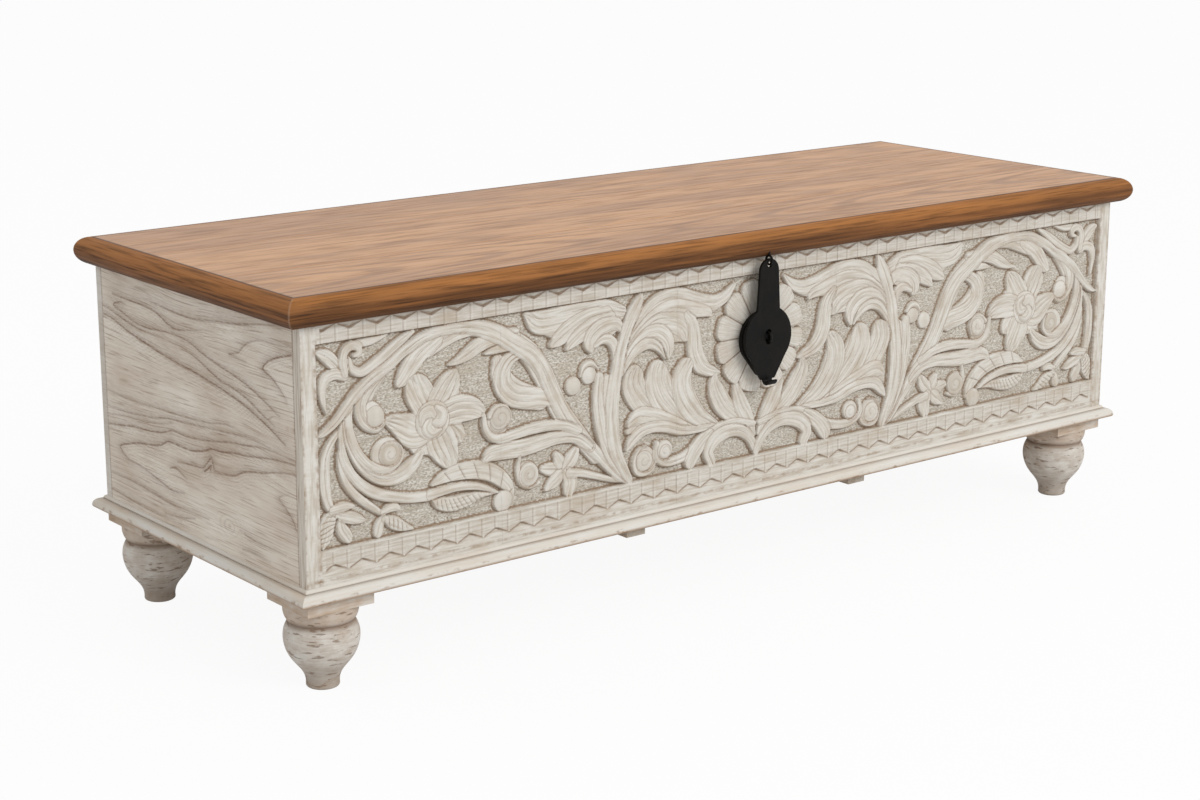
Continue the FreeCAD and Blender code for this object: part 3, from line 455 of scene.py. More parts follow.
# Front board: one board whose middle is sunk and carved by hand with a scrolling vine, a rosette behind
# the lock and a stippled ground, between two rows of chip-cut points. Its ends lap the side boards.
# The white was rubbed off the high parts only lightly, and brown stays in every cut.
face_y = -0.18965
face_half = 550.0
face_low, face_high = 96.5, 354.5
field_half = 533.0
field_low, field_high = 143.5, 336.0
carving_depth = 6.0
lap = 0.012
board_back = 0.018
carving_step = 0.8
sections = 5
streak_worn = (174, 162, 144)
patch_worn = (180, 164, 143)
ground_dusk = (164, 156, 142)
# Brown left in every cut, also used for the painted shade on the carving.
cut_brown_and_painted_shade = (134, 109, 85)
edge_brown = (150, 128, 106)
end_pale = (208, 200, 188)
end_dark = (156, 134, 113)

grid_x = np.linspace(-face_half, face_half, int(2 * face_half / carving_step / sections) * sections + 1)
grid_z = np.linspace(face_low, face_high, int((face_high - face_low) / carving_step) + 1)


def softened(field, radius):
    """The field blurred by a bell curve of that radius in mm: each wave of it is turned down by
    exp(-2 (pi r f)^2), f being the wave's count per mm."""
    waves = np.fft.rfft2(field)
    down = np.fft.fftfreq(field.shape[0], carving_step)[:, None]
    along = np.fft.rfftfreq(field.shape[1], carving_step)[None, :]
    waves *= np.exp(-2.0 * (np.pi * radius) ** 2 * (down ** 2 + along ** 2))
    return np.fft.irfft2(waves, field.shape)


def eased(share):
    """0 below 0, 1 above 1, and 3 s^2 - 2 s^3 between."""
    share = np.clip(share, 0.0, 1.0)
    return share * share * (3.0 - 2.0 * share)


relief = np.zeros((len(grid_z), len(grid_x)))
across = np.repeat(grid_z[:, None], len(grid_x), 1)
along = np.repeat(grid_x[None, :], len(grid_z), 0)
ends_x = np.abs(grid_x) > field_half
across[:, ends_x], along[:, ends_x] = 0.5 * along[:, ends_x], across[:, ends_x]
outline = np.zeros(relief.shape)


def lay(rows, columns, inside, top, aside, ahead):
    """A form laid over what is carved already, inside being the distance in from its edge. The edge is
    eased down over 1.5 mm, brown is kept along its foot as exp(-((inside + 1) / 0.7)^2), and the place
    aside and ahead on the form is kept too, so that the rubbed paint can follow it."""
    laid = eased((inside + 0.9) / 1.5)
    relief[rows, columns] = relief[rows, columns] * (1.0 - laid) + top * laid
    foot = np.exp(-((inside + 1.0) / 0.7) ** 2)
    outline[rows, columns] = np.maximum(outline[rows, columns], foot) * (1.0 - laid)
    across[rows, columns] = np.where(laid > 0.5, aside, across[rows, columns])
    along[rows, columns] = np.where(laid > 0.5, ahead, along[rows, columns])


def carve(points, rise=4.4, crown=0.3, strands=0, hatch=0.0, cut=0.7):
    """One stroke. share is the least distance to the line over its half width, so the outline wraps discs
    of that half width. Height = rise + crown (1 - share^2), a little more in the middle of each strand,
    less a thin cut exp(-(g / 0.7)^2), g being the distance to the nearest line between two strands, one
    strand for each 8 mm unless given, and less slanting veins a hatch apart."""
    line = smooth_line(points)
    half = np.maximum(line[:, 2], 0.5)
    rows, columns, near, share, left, ahead = beside(line, half, grid_x, grid_z, half.max() + 3.0)
    way = np.append(0.0, np.cumsum(np.linalg.norm(np.diff(line[:, :2], axis=0), axis=1)))[near] + ahead
    width = half[near]
    strands = strands or max(1, round(2.0 * half.max() / 8.0))
    count = strands * (np.clip(left / width, -1.0, 1.0) + 1.0) / 2.0
    groove = np.abs((count + 0.5) % 1.0 - 0.5) * 2.0 * width / strands
    wide = np.clip((width - 1.0) / 3.0, 0.0, 1.0)
    top = rise + crown * (1.0 - np.minimum(share, 1.0) ** 2) + 0.3 * np.sin(np.pi * count) ** 2
    top -= cut * wide * np.exp(-(groove / 0.7) ** 2) * (0.7 + 0.3 * np.sin(way / 9.0 + line[0, 0]))
    if hatch:
        vein = (way + 0.55 * left) / hatch
        top -= 1.1 * wide * np.exp(-(np.abs((vein + 0.5) % 1.0 - 0.5) * hatch / 0.8) ** 2)
    drawn_out = np.hypot(*(line[-1, :2] - line[0, :2])) > 2.0
    lay(rows, columns, (1.0 - share) * width, top, drawn_out * left + 7.0 * line[0, 0], way)


# Distances from the middle that match on the two halves, in mm.
left_side = (0, 60, 125, 150, 200, 300, 410, 535)
right_side = (0, 66, 138, 167, 209, 304, 413, 534)


def both_sides(points, **how):
    """The stroke on the left half, and its mirror image on the right, where the carver's spacing is
    a few mm wider near the middle."""
    carve(points, **how)
    p = np.array(points, float)
    p[:, 0] = np.sign(-p[:, 0]) * np.interp(np.abs(p[:, 0]), left_side, right_side)
    carve(p, **how)


# Strokes of the carving on the left half, as points of (mm right of the middle, mm above the floor, half
# width). Later strokes lie over earlier ones. The masses are low grounds that join the leaves on them.
masses = [
    dict(points=[(-331, 291, 7), (-328, 277, 11), (-319, 264, 12.5), (-303, 253.5, 12.5), (-281, 247, 11)]),
    dict(points=[(-213, 177, 7), (-228, 196, 9), (-243, 214, 10), (-257, 232, 10.5), (-269, 254, 11),
                 (-280, 275, 11.5), (-294, 294, 11), (-316, 310, 10), (-349, 325, 8), (-392, 330, 5)]),
    dict(points=[(-171, 149, 4), (-186, 170, 8), (-199, 200, 12), (-201, 230, 11), (-199, 252, 7)]),
    dict(points=[(-185, 318, 8), (-205, 316, 12), (-230, 312, 14), (-255, 314, 13), (-285, 323, 7),
                 (-297, 331, 2)]),
    dict(points=[(-190, 308, 8), (-208, 301, 9.5), (-220, 292, 7)]),
    dict(points=[(-158, 312, 7), (-140, 312, 14), (-118, 311, 16), (-98, 311, 13), (-78, 312, 10),
                 (-62, 312, 8.5), (-48, 317, 6), (-36, 327, 2)]),
    dict(points=[(-163, 290, 6), (-146, 293, 11), (-124, 292, 13), (-107, 289, 10), (-100, 282, 4)]),
    dict(points=[(-110, 312, 6), (-95, 302, 8), (-88, 285, 9), (-84, 268, 9), (-72, 248, 7),
                 (-56, 240, 2)]),
    dict(points=[(-100, 196, 5), (-120, 205, 11), (-141, 216, 14), (-155, 228, 15), (-163, 242, 12.5),
                 (-164, 253, 7)]),
    dict(points=[(-75, 188, 4), (-96, 198, 11), (-113, 212, 15), (-125, 228, 16), (-131, 243, 14),
                 (-132, 254, 8)]),
    dict(points=[(-55, 186, 3), (-76, 196, 9), (-90, 210, 12), (-99, 226, 13), (-101, 241, 11.5),
                 (-97, 252, 7)]),
    dict(points=[(-80, 187, 4), (-110, 193, 8), (-140, 203, 10), (-160, 203, 8), (-172, 196, 3)]),
    dict(points=[(-450, 305, 2), (-462, 301, 6), (-474, 291, 8.5), (-482, 279, 8.5), (-485, 267, 7.5),
                 (-481, 257, 7), (-470, 250, 6), (-461, 253, 3)]),
]
# A small sprig low beside the foot of the stem, and its stalk.
sprigs = [
    dict(points=[(-256, 172, 4), (-267, 174, 7), (-278, 176, 4)], rise=3.6, strands=2),
    dict(points=[(-254, 175, 3), (-258, 181, 6.5), (-262, 187, 4)], rise=3.8, strands=2),
    dict(points=[(-255, 169, 4), (-263, 163, 7.5), (-272, 157, 4), (-276, 154, 1)], rise=3.8, strands=2),
    dict(points=[(-251, 174, 4), (-244, 180, 8), (-239, 187, 5)], rise=4.0, strands=2),
    dict(points=[(-249, 168, 5), (-245, 158, 9), (-247, 149, 6.5)], rise=4.0, strands=2),
    dict(points=[(-246, 167, 4.5), (-232, 164, 4), (-214, 158, 3.5), (-194, 151, 3), (-173, 146, 2.5)]),
]
# Leaves that hang from the upper stretch of the vine.
hanging_leaves = [
    dict(points=[(-290, 296, 4), (-305, 296, 5), (-319, 291, 7), (-327, 280, 9), (-326, 267, 10),
                 (-315, 256, 11), (-299, 251, 10.5), (-283, 249, 9), (-266, 245, 7)], rise=4.2),
    dict(points=[(-304, 305, 4), (-322, 304, 4.5), (-336, 303, 4), (-346, 301, 1.2)], rise=3.8),
    dict(points=[(-312, 316, 6), (-335, 315, 7), (-352, 311, 7.5), (-366, 304, 6.5), (-379, 298.5, 3.5),
                 (-388, 296.5, 1)], rise=4.2),
    dict(points=[(-360, 327, 6), (-380, 326, 8), (-400, 319, 8), (-414, 311, 5), (-424, 306, 1.5)],
         rise=4.3),
    dict(points=[(-403, 323, 7), (-420, 313, 9.5), (-431, 302, 9.5), (-439, 292, 7.5), (-444, 287, 4)],
         rise=4.2),
]
# The flower in the outer scroll: petals round a disc with a whorl of three curls.
flower = [
    dict(points=[(-406, 246, 26), (-405.5, 246, 26)], rise=3.0, strands=1),
    dict(points=[(-447, 246, 5), (-432, 236, 12), (-416, 230, 14), (-401, 224, 15), (-391, 212, 11),
                 (-387, 201, 4)], rise=3.6, strands=3, cut=0.4),
    dict(points=[(-398, 236, 10), (-386, 230, 11), (-378, 226, 7)], rise=3.6, strands=2, cut=0.4),
    dict(points=[(-396, 256, 7.5), (-386, 264, 10), (-374, 264, 2.5)], rise=3.6, strands=2),
    dict(points=[(-396, 240, 10), (-386, 234, 12), (-378, 227, 7.5), (-377, 223, 2)], rise=3.8,
         strands=3),
    dict(points=[(-408, 236, 13.5), (-418, 229, 14.5), (-425, 224, 7.5)], rise=3.8, strands=3),
    dict(points=[(-402, 234, 12), (-397, 222, 16), (-391, 210, 12), (-387, 201, 6), (-386, 196, 2)],
         rise=4.4, crown=-0.6, strands=5),
    dict(points=[(-412, 242, 11), (-428, 240, 16), (-442, 247, 11), (-455, 253, 5), (-461, 255, 1)],
         rise=4.2, crown=-0.6, strands=4),
    dict(points=[(-412, 258, 11), (-418, 268, 15), (-423, 278, 14.5), (-427, 286, 6)], rise=4.2,
         crown=-1.0, strands=5),
    dict(points=[(-403, 258, 11), (-394, 269, 14.5), (-387, 279, 11.5), (-380, 289, 2.5)], rise=4.0,
         crown=-0.8, strands=4),
    dict(points=[(-395, 250, 10), (-378, 252.5, 13.5), (-364, 251, 11.5), (-355, 248, 7.5),
                 (-350, 244, 2.5)], rise=4.8, crown=-0.9, strands=4),
    dict(points=[(-408, 247, 18), (-407.8, 247, 18)], rise=4.4, strands=1),
]
# Each curl of the whorl, as points of (distance from the flower's middle, angle, half width).
flower_x, flower_z = -408, 247
curl = ((3, 0.0, 3), (8.5, 0.5, 6), (12, 1.2, 4.5), (12.5, 1.9, 2))
for swirl in np.radians((80, 200, 320)):
    curl_points = [(flower_x + r * np.cos(swirl + turn), flower_z + r * np.sin(swirl + turn), half)
                   for r, turn, half in curl]
    flower.append(dict(points=curl_points, rise=5.0, crown=0.6, strands=1))
# Scrolled leaves that wrap the flower from its outer side, with their round eyes.
scrolls = [
    dict(points=[(-476, 261, 14), (-475, 260, 14)], rise=2.6, strands=1),
    dict(points=[(-459, 222, 16), (-458, 222, 16)], rise=2.2, strands=1),
    dict(points=[(-510, 232, 3), (-508.5, 217, 3.8), (-503, 202, 4.2), (-494, 190, 4.2), (-483, 180, 4),
                 (-474, 173, 3.5), (-466, 167, 2.5)], rise=4.2),
    dict(points=[(-511, 252, 2.5), (-519, 243, 4), (-525, 231, 5.5), (-526.5, 216, 6), (-526, 200, 6),
                 (-523, 186, 5), (-518, 177, 3)], rise=4.4),
    dict(points=[(-507, 258, 3), (-508, 242, 3.5), (-505, 225, 4.5), (-497, 209, 5), (-485, 196, 5.5),
                 (-470, 186.5, 5.5), (-452, 180, 5.2), (-434, 176, 5), (-414, 174, 5)], rise=4.8),
    dict(points=[(-408, 184, 2), (-395, 189, 6), (-378, 191, 8), (-360, 190, 9), (-343, 185, 9),
                 (-329, 176, 8), (-320, 166, 6), (-319, 157, 5)], rise=4.2, crown=-0.6, hatch=17,
         strands=1),
    dict(points=[(-409, 169, 1.5), (-400, 164, 6), (-386, 161, 7.5), (-370, 162, 6.5), (-354, 164, 3.5),
                 (-336, 163, 0.8)], rise=4.6, hatch=5.5, strands=1),
    dict(points=[(-411, 175, 5), (-385, 177, 4.5), (-365, 175, 4), (-348, 170, 3), (-333, 163, 1.2)],
         rise=5.0),
    dict(points=[(-327.5, 153, 10.5), (-327, 153, 10.5)], rise=3.4, crown=1.4, strands=1),
    dict(points=[(-503, 262, 3), (-502, 245, 3.5), (-496, 229, 4), (-486, 214, 4.5), (-473, 203.5, 5.5),
                 (-459, 199, 7), (-445, 200, 8), (-433, 206, 7.5), (-424, 214, 4.5), (-420.5, 219, 1.2)],
         rise=4.4),
    dict(points=[(-498, 279, 4), (-499.5, 262, 4), (-497.5, 247, 4.4), (-491.5, 231.7, 4.6),
                 (-482, 219, 4.4), (-471, 211, 4), (-460, 208, 3.4), (-449, 211, 2.8), (-443, 218, 2.6),
                 (-444, 226, 2.3), (-450, 231, 2), (-459, 230, 1.4)], rise=4.8),
    dict(points=[(-457.5, 221.3, 9), (-457, 221.3, 9)], rise=2.8, crown=1.6, strands=1),
    dict(points=[(-450, 307, 2), (-466, 301, 6), (-479, 290, 7), (-486, 278, 6.5), (-487, 266, 6),
                 (-482, 256, 5.5), (-471, 250, 4.5), (-463, 252, 2)], rise=4.8),
    dict(points=[(-470.5, 259.5, 9.8), (-470, 259.5, 9.8)], rise=3.2, crown=1.5, strands=1),
]
# Small leaves in the lower outer corner.
low_corner = [
    dict(points=[(-517, 178, 4), (-524, 168, 8), (-526, 158, 7.5), (-529, 149, 4), (-531, 145, 1)],
         rise=3.8, crown=0.8, hatch=5, strands=1),
    dict(points=[(-511, 168, 3), (-509.5, 160, 6), (-505, 153, 6.5), (-502, 148, 3)], rise=3.8,
         crown=1.0),
    dict(points=[(-513, 174, 3), (-502, 170, 6), (-491, 166, 4.5), (-484, 164, 1)], rise=4.0),
    dict(points=[(-519, 180, 3.5), (-507, 181, 4.5), (-497, 180, 2)], rise=4.4),
    dict(points=[(-464, 168, 3), (-457, 170.5, 4.5), (-450, 170, 4), (-447, 168, 1.5)], rise=4.2),
    dict(points=[(-464, 163, 3), (-468, 157, 5), (-470, 150, 5.5), (-471, 147, 2.5)], rise=3.8,
         crown=1.0),
    dict(points=[(-463, 161, 3), (-452, 155, 6.5), (-442, 149.5, 4.5), (-432, 146, 1.5)], rise=4.0,
         hatch=5.5, strands=1),
]
# Small leaves in the upper outer corner.
high_corner = [
    dict(points=[(-497.5, 317, 3), (-495, 309, 4), (-486, 304, 4.5), (-476, 307, 5), (-463, 314, 5),
                 (-450, 322, 5), (-438, 329, 4), (-428, 334, 2)], rise=4.6),
    dict(points=[(-489, 331.5, 3), (-478, 331, 4), (-467, 332.5, 2.8), (-456, 335, 0.8)], rise=4.2),
    dict(points=[(-503, 304, 3), (-512, 315, 6), (-520, 323, 6.5), (-527, 327, 4), (-532, 328.5, 1)],
         rise=4.0, crown=-0.6),
    dict(points=[(-503, 303, 4.5), (-513, 306, 5), (-523, 303, 5.5), (-526.5, 294, 4.5), (-526, 283, 3),
                 (-523, 271, 1)], rise=4.2),
    dict(points=[(-502, 306, 3.5), (-504, 317, 4), (-502, 326, 4.5), (-495, 330, 4.5), (-488, 328, 4),
                 (-487, 322.5, 3), (-492, 320.5, 2)], rise=4.8),
]
# The vine, from the foot of the stem up and out along the top, and its inner curls.
vine = [
    dict(points=[(-333, 232, 14), (-332, 232, 14)], rise=2.4, strands=1),
    dict(points=[(-298, 174, 13), (-297, 174, 13)], rise=2.2, strands=1),
    dict(points=[(-174, 145, 3), (-188, 156, 5), (-200, 168, 6), (-212, 181, 6.5), (-225, 194, 7),
                 (-240, 209, 7), (-253, 226, 7), (-263, 243, 7), (-272, 261, 7.5), (-281, 279, 8),
                 (-291, 291, 8.5), (-303, 300, 8.5), (-318, 309.5, 8.5), (-333, 319, 8.5), (-349, 326, 8),
                 (-368, 330, 5.5), (-392, 331, 4.5), (-415, 328, 5), (-437, 318, 5.5), (-456, 306, 5.5),
                 (-474, 297, 5.2), (-490, 286, 5.2), (-502, 274, 4.8), (-514, 262, 4.5), (-526, 254, 3.5),
                 (-534, 251, 1)], rise=5.0, crown=0.8),
    dict(points=[(-349, 198, 2), (-341, 202, 7), (-325, 203, 9), (-305, 202, 9), (-285, 203, 8),
                 (-265, 205, 7), (-247, 204, 6.5), (-233, 199, 5.5), (-221, 190, 4.5)], rise=4.2),
    dict(points=[(-349, 241, 2.5), (-347.5, 229, 3.5), (-341, 219.5, 4), (-330, 215.5, 4.5),
                 (-312, 217, 5), (-292, 219, 5.5), (-272, 219, 5.5), (-252, 216, 5), (-236, 209, 4)],
         rise=4.8),
    dict(points=[(-342, 240, 3), (-334, 246, 3.4), (-324, 245, 3.4), (-319, 237, 3.2), (-321, 228, 2.4)],
         rise=4.4),
    dict(points=[(-330.5, 233, 9.6), (-330.2, 233, 9.6)], rise=3.0, crown=1.6, strands=1),
    dict(points=[(-307, 192, 2), (-309, 180, 3), (-305, 168, 3.2), (-295, 162, 3), (-284, 164, 2)],
         rise=4.0),
    dict(points=[(-295, 172.5, 10.3), (-294.7, 172.5, 10.3)], rise=3.0, crown=1.5, strands=1),
    dict(points=[(-232, 262, 1.5), (-228, 271, 3.5), (-219, 273, 3.5), (-211, 267, 1.5)], rise=3.8),
    dict(points=[(-241, 253.5, 9.2), (-240.7, 253.5, 9.2)], rise=2.8, crown=1.8, strands=1),
    dict(points=[(-221.5, 261.5, 9), (-221.2, 261.5, 9)], rise=2.8, crown=1.8, strands=1),
    dict(points=[(-173, 147, 3), (-185, 160, 4.5), (-196, 175, 5.5), (-203, 192, 6.5), (-208, 210, 7),
                 (-211, 230, 6.5), (-211, 246, 6), (-209, 258, 5)], rise=4.6),
]
# The upright stem with the broad leaf that opens from it to both sides.
acanthus = [
    dict(points=[(-180, 321, 5), (-200, 326, 8.5), (-222, 326, 9.5), (-245, 324, 11.5), (-266, 322, 12.5),
                 (-284, 323, 11), (-298, 332, 2.5)], rise=4.4, crown=-0.6),
    dict(points=[(-200, 321, 6), (-222, 319, 8.5), (-243, 312, 9.5), (-258, 304, 8), (-268, 298.5, 3)],
         rise=4.6),
    dict(points=[(-196, 316, 6), (-214, 312, 8), (-231, 305, 8.5), (-243, 298, 6), (-249, 292.5, 2.5)],
         rise=4.7),
    dict(points=[(-179, 300, 4), (-188, 309, 5.5), (-204, 309, 8), (-216, 303, 9), (-221, 295, 8),
                 (-220, 286.5, 3)], rise=4.8),
    dict(points=[(-214, 291, 2.5), (-204, 295, 4.5), (-194, 292, 5.5), (-189, 283, 5.5), (-188, 270, 5)],
         rise=4.8),
    dict(points=[(-168, 294, 3.5), (-157, 306, 5), (-141, 320, 8.5), (-122, 326, 9), (-104, 325, 9),
                 (-88, 320, 8.5), (-72, 315.5, 8), (-57, 314, 7), (-44, 318.5, 5.5), (-33, 329, 2)],
         rise=4.4, crown=-0.5),
    dict(points=[(-170, 288, 3.5), (-155, 301, 5), (-134, 312, 7), (-115, 315, 8.5), (-98, 312, 8),
                 (-82, 308, 7), (-70, 305, 5), (-65, 301, 2)], rise=4.6),
    dict(points=[(-173, 279, 3.5), (-158, 293, 5.5), (-138, 303, 8), (-120, 302, 9.5), (-105, 297, 11),
                 (-97, 288, 9), (-98, 281, 3)], rise=4.7),
    dict(points=[(-177, 269, 3.5), (-164, 283, 5.5), (-150, 291, 8), (-136, 292, 9.5), (-125, 285, 9),
                 (-120, 275, 6.5), (-121, 265, 2)], rise=4.8),
    dict(points=[(-181, 258, 3.5), (-172, 269, 4), (-161, 279, 5.5), (-147, 283, 6), (-136, 279, 5),
                 (-129, 271, 2.5), (-125, 264, 1)], rise=4.6),
    dict(points=[(-171, 146, 4), (-178, 159, 5.5), (-186, 174, 7), (-191, 192, 8), (-193, 212, 8.5),
                 (-192, 234, 8.2), (-188, 258, 7.5), (-182.5, 280, 6.8), (-176, 299, 6.5),
                 (-168, 315, 7.5), (-161, 326, 6), (-157, 333, 2.5)], rise=5.0),
    dict(points=[(-97, 306, 3.5), (-89, 295, 7), (-86, 281, 9), (-85, 266, 10), (-79, 253, 9.5),
                 (-70, 245.5, 7), (-60, 241.5, 5), (-51, 239.5, 1)], rise=4.4),
]
# Broad leaves and scrolls at the middle, below and beside the rosette.
palmette = [
    dict(points=[(-152, 163, 14), (-151, 163, 14)], rise=2.4, strands=1),
    dict(points=[(-125, 169, 9.5), (-124, 169, 9.5)], rise=2.4, strands=1),
    dict(points=[(-108, 197, 5), (-128, 206, 8.5), (-144, 216, 12), (-157, 229, 14.5), (-165, 242, 14.5),
                 (-165, 251, 12), (-163, 256, 7)], rise=4.2, crown=-0.8),
    dict(points=[(-80, 187, 3.5), (-98, 196, 8.5), (-114, 210, 13), (-127, 225, 15.5), (-134, 240, 15.5),
                 (-135, 251, 12.5), (-133, 257, 7)], rise=4.5, crown=-0.8),
    dict(points=[(-60, 186, 3.5), (-78, 195, 8), (-92, 209, 11), (-101, 225, 12), (-103, 240, 12),
                 (-99, 250, 10), (-96, 255, 6)], rise=4.7, crown=-0.8),
    dict(points=[(-5, 180, 2.5), (-25, 187, 7), (-42, 200, 11), (-53, 215, 11.5), (-59, 229, 7),
                 (-57, 238, 1.5)], rise=4.6, crown=-0.5),
    dict(points=[(-3, 166, 2.5), (-10, 182, 7), (-20, 199, 9.5), (-27, 214, 7), (-30, 226, 2.5)],
         rise=4.4),
    dict(points=[(-100, 190, 5), (-120, 198, 8), (-140, 206, 9), (-158, 210, 8.5), (-169, 206, 4),
                 (-173, 202, 1.5)], rise=4.8),
    dict(points=[(-60, 184, 3), (-85, 184, 4), (-105, 187, 5.5), (-122, 193, 6), (-140, 196, 6),
                 (-156, 194, 6.5), (-168, 186, 5.5), (-175, 178, 1.5)], rise=5.0),
    dict(points=[(-149, 176, 2.5), (-159, 173, 3), (-164, 164, 3.5), (-161, 153, 3.5), (-151, 149.5, 3.5),
                 (-141, 153, 3), (-137, 161, 2.5)], rise=4.2),
    dict(points=[(-149.5, 164, 12.5), (-149.2, 164, 12.5)], rise=3.2, crown=1.5, strands=1),
    dict(points=[(-135, 178, 3), (-136.5, 167, 3.5), (-131, 159, 4), (-120, 155.5, 4.5), (-105, 156.5, 5),
                 (-92, 160.5, 5.5), (-80, 168, 6), (-66, 176, 6), (-50, 181, 5.5), (-28, 183, 4),
                 (-3, 178, 2.5)], rise=4.8),
    dict(points=[(-124.5, 169.5, 10), (-124, 169.5, 10)], rise=3.2, crown=1.5, strands=1),
    dict(points=[(-64, 178, 3.5), (-75, 170, 8), (-84, 161, 9), (-90, 152, 8), (-91, 147, 3.5)],
         rise=4.6),
    dict(points=[(-62, 147, 6), (-66, 157, 7), (-60, 167, 8), (-48, 173.5, 8), (-34, 175, 7),
                 (-20, 172, 6.5), (-9, 163, 5.5), (-2, 152, 5), (0, 146, 3.5)], rise=4.8),
]
rosette_x, rosette_z = 3.0, 271.5
rosette_r = 60.0
petal_turns = np.radians((15, 48, 77, 105, 134, 167, 194, 221, 256, 290, 324, 350))


def around(x, z, reach):
    """The rows and columns of the carving within reach of a middle, and the distance and angle from it of
    each point there."""
    columns = slice(*np.searchsorted(grid_x, (x - reach, x + reach)))
    rows = slice(*np.searchsorted(grid_z, (z - reach, z + reach)))
    out_x = grid_x[columns][None, :] - x
    out_z = grid_z[rows][:, None] - z
    return rows, columns, np.hypot(out_x, out_z), np.arctan2(out_z, out_x)


def carve_rosette():
    """A ring of broad petals about the rosette's middle. A petal runs out to its radius less 8 |w|^4, w
    being -1..1 across it, and is parted from the next by a cut exp(-(g / 1.1)^2) of the distance g to
    their joint; three fine lines run along it, and a fourth follows its end 3.5 mm in."""
    rows, columns, r, turn = around(rosette_x, rosette_z, rosette_r + 4.0)
    turn = turn % (2.0 * np.pi)
    joints = (petal_turns + np.roll(petal_turns, -1) + np.array([0.0] * 11 + [2.0 * np.pi])) / 2.0
    petal = np.searchsorted(joints - joints[-1] + 2.0 * np.pi, turn + 2.0 * np.pi - joints[-1])
    middle = np.append(petal_turns, petal_turns[0] + 2.0 * np.pi)[petal % 12]
    swing = (turn - middle + np.pi) % (2.0 * np.pi) - np.pi
    to_left = ((joints - petal_turns) % (2.0 * np.pi))[petal % 12]
    to_right = ((petal_turns - np.roll(joints, 1)) % (2.0 * np.pi))[petal % 12]
    w = np.where(swing > 0.0, swing / to_left, swing / to_right)
    gap = r * np.where(swing > 0.0, to_left - swing, to_right + swing)
    inside = rosette_r - 8.0 * w ** 4 - r
    top = 4.6 + 0.5 * (1.0 - w * w) - 1.9 * np.exp(-(gap / 1.1) ** 2)
    top -= 0.45 * np.exp(-((inside - 3.5) / 0.8) ** 2) * (np.abs(w) < 0.8)
    ray = np.abs((w * 1.6 + 0.5) % 1.0 - 0.5) / 1.6 * r * 0.26
    top -= 0.4 * np.exp(-(ray / 0.7) ** 2) * eased((inside - 5.0) / 8.0)
    lay(rows, columns, inside, top, 20.0 * w, r)


# Round bosses of the left half: middle, radius and the hand of the spiral.
volutes = [(-455.5, 222.5, 11, 1), (-329.5, 236, 10.5, -1), (-296, 174, 11.5, 1), (-152, 162.5, 10, 1),
           (-124, 168, 6.5, -1)]


def carve_volute(x, z, radius, hand):
    """A round boss, 4.2 mm high and 1 mm more in its middle, with a spiral line cut in it: the cut is
    0.7 exp(-(d / 0.9)^2) of the distance d to a spiral that winds in by 6.5 mm a turn."""
    pitch = 6.5
    rows, columns, r, angle = around(x, z, radius + 3.0)
    turn = hand * angle / (2.0 * np.pi)
    gap = np.abs((r / pitch - turn + 0.5) % 1.0 - 0.5) * pitch
    top = 4.2 + 1.0 * (1.0 - (r / radius) ** 2) - 0.7 * np.exp(-(gap / 0.9) ** 2) * (r > 2.0)
    lay(rows, columns, radius - r, top, 3.0 * x, 2.0 * r)


for mass in masses:
    both_sides(**mass, rise=3.7, strands=1, cut=0.0)
for stroke in (sprigs + hanging_leaves + flower + scrolls + low_corner + high_corner + vine + acanthus
               + palmette):
    both_sides(**stroke)
for x, z, radius, hand in volutes:
    carve_volute(x, z, radius, hand)
    carve_volute(np.interp(-x, left_side, right_side), z, radius, -hand)
carve_rosette()

# The stippled ground: soft noise of 0.24 mm, full on the ground and faint on the forms.
chance = np.random.default_rng(7)
stipple = softened(chance.standard_normal(relief.shape), 0.6)
stipple *= 0.24 / stipple.std()
ground = eased((1.3 - relief) / 1.0)
relief += stipple * (0.14 + 0.86 * ground)


def zigzag(x, first, period):
    """1 at first and at every period from it, falling evenly to 0 midway."""
    return 1.0 - np.abs(((x - first) / period + 0.5) % 1.0 * 2.0 - 1.0)


upper_chips_z, upper_first, upper_pitch = 353.8, -526.7, 29.65
lower_chips_z, lower_first, lower_pitch = 122.0, -519.6, 30.45
lower_teeth_top = 141.2


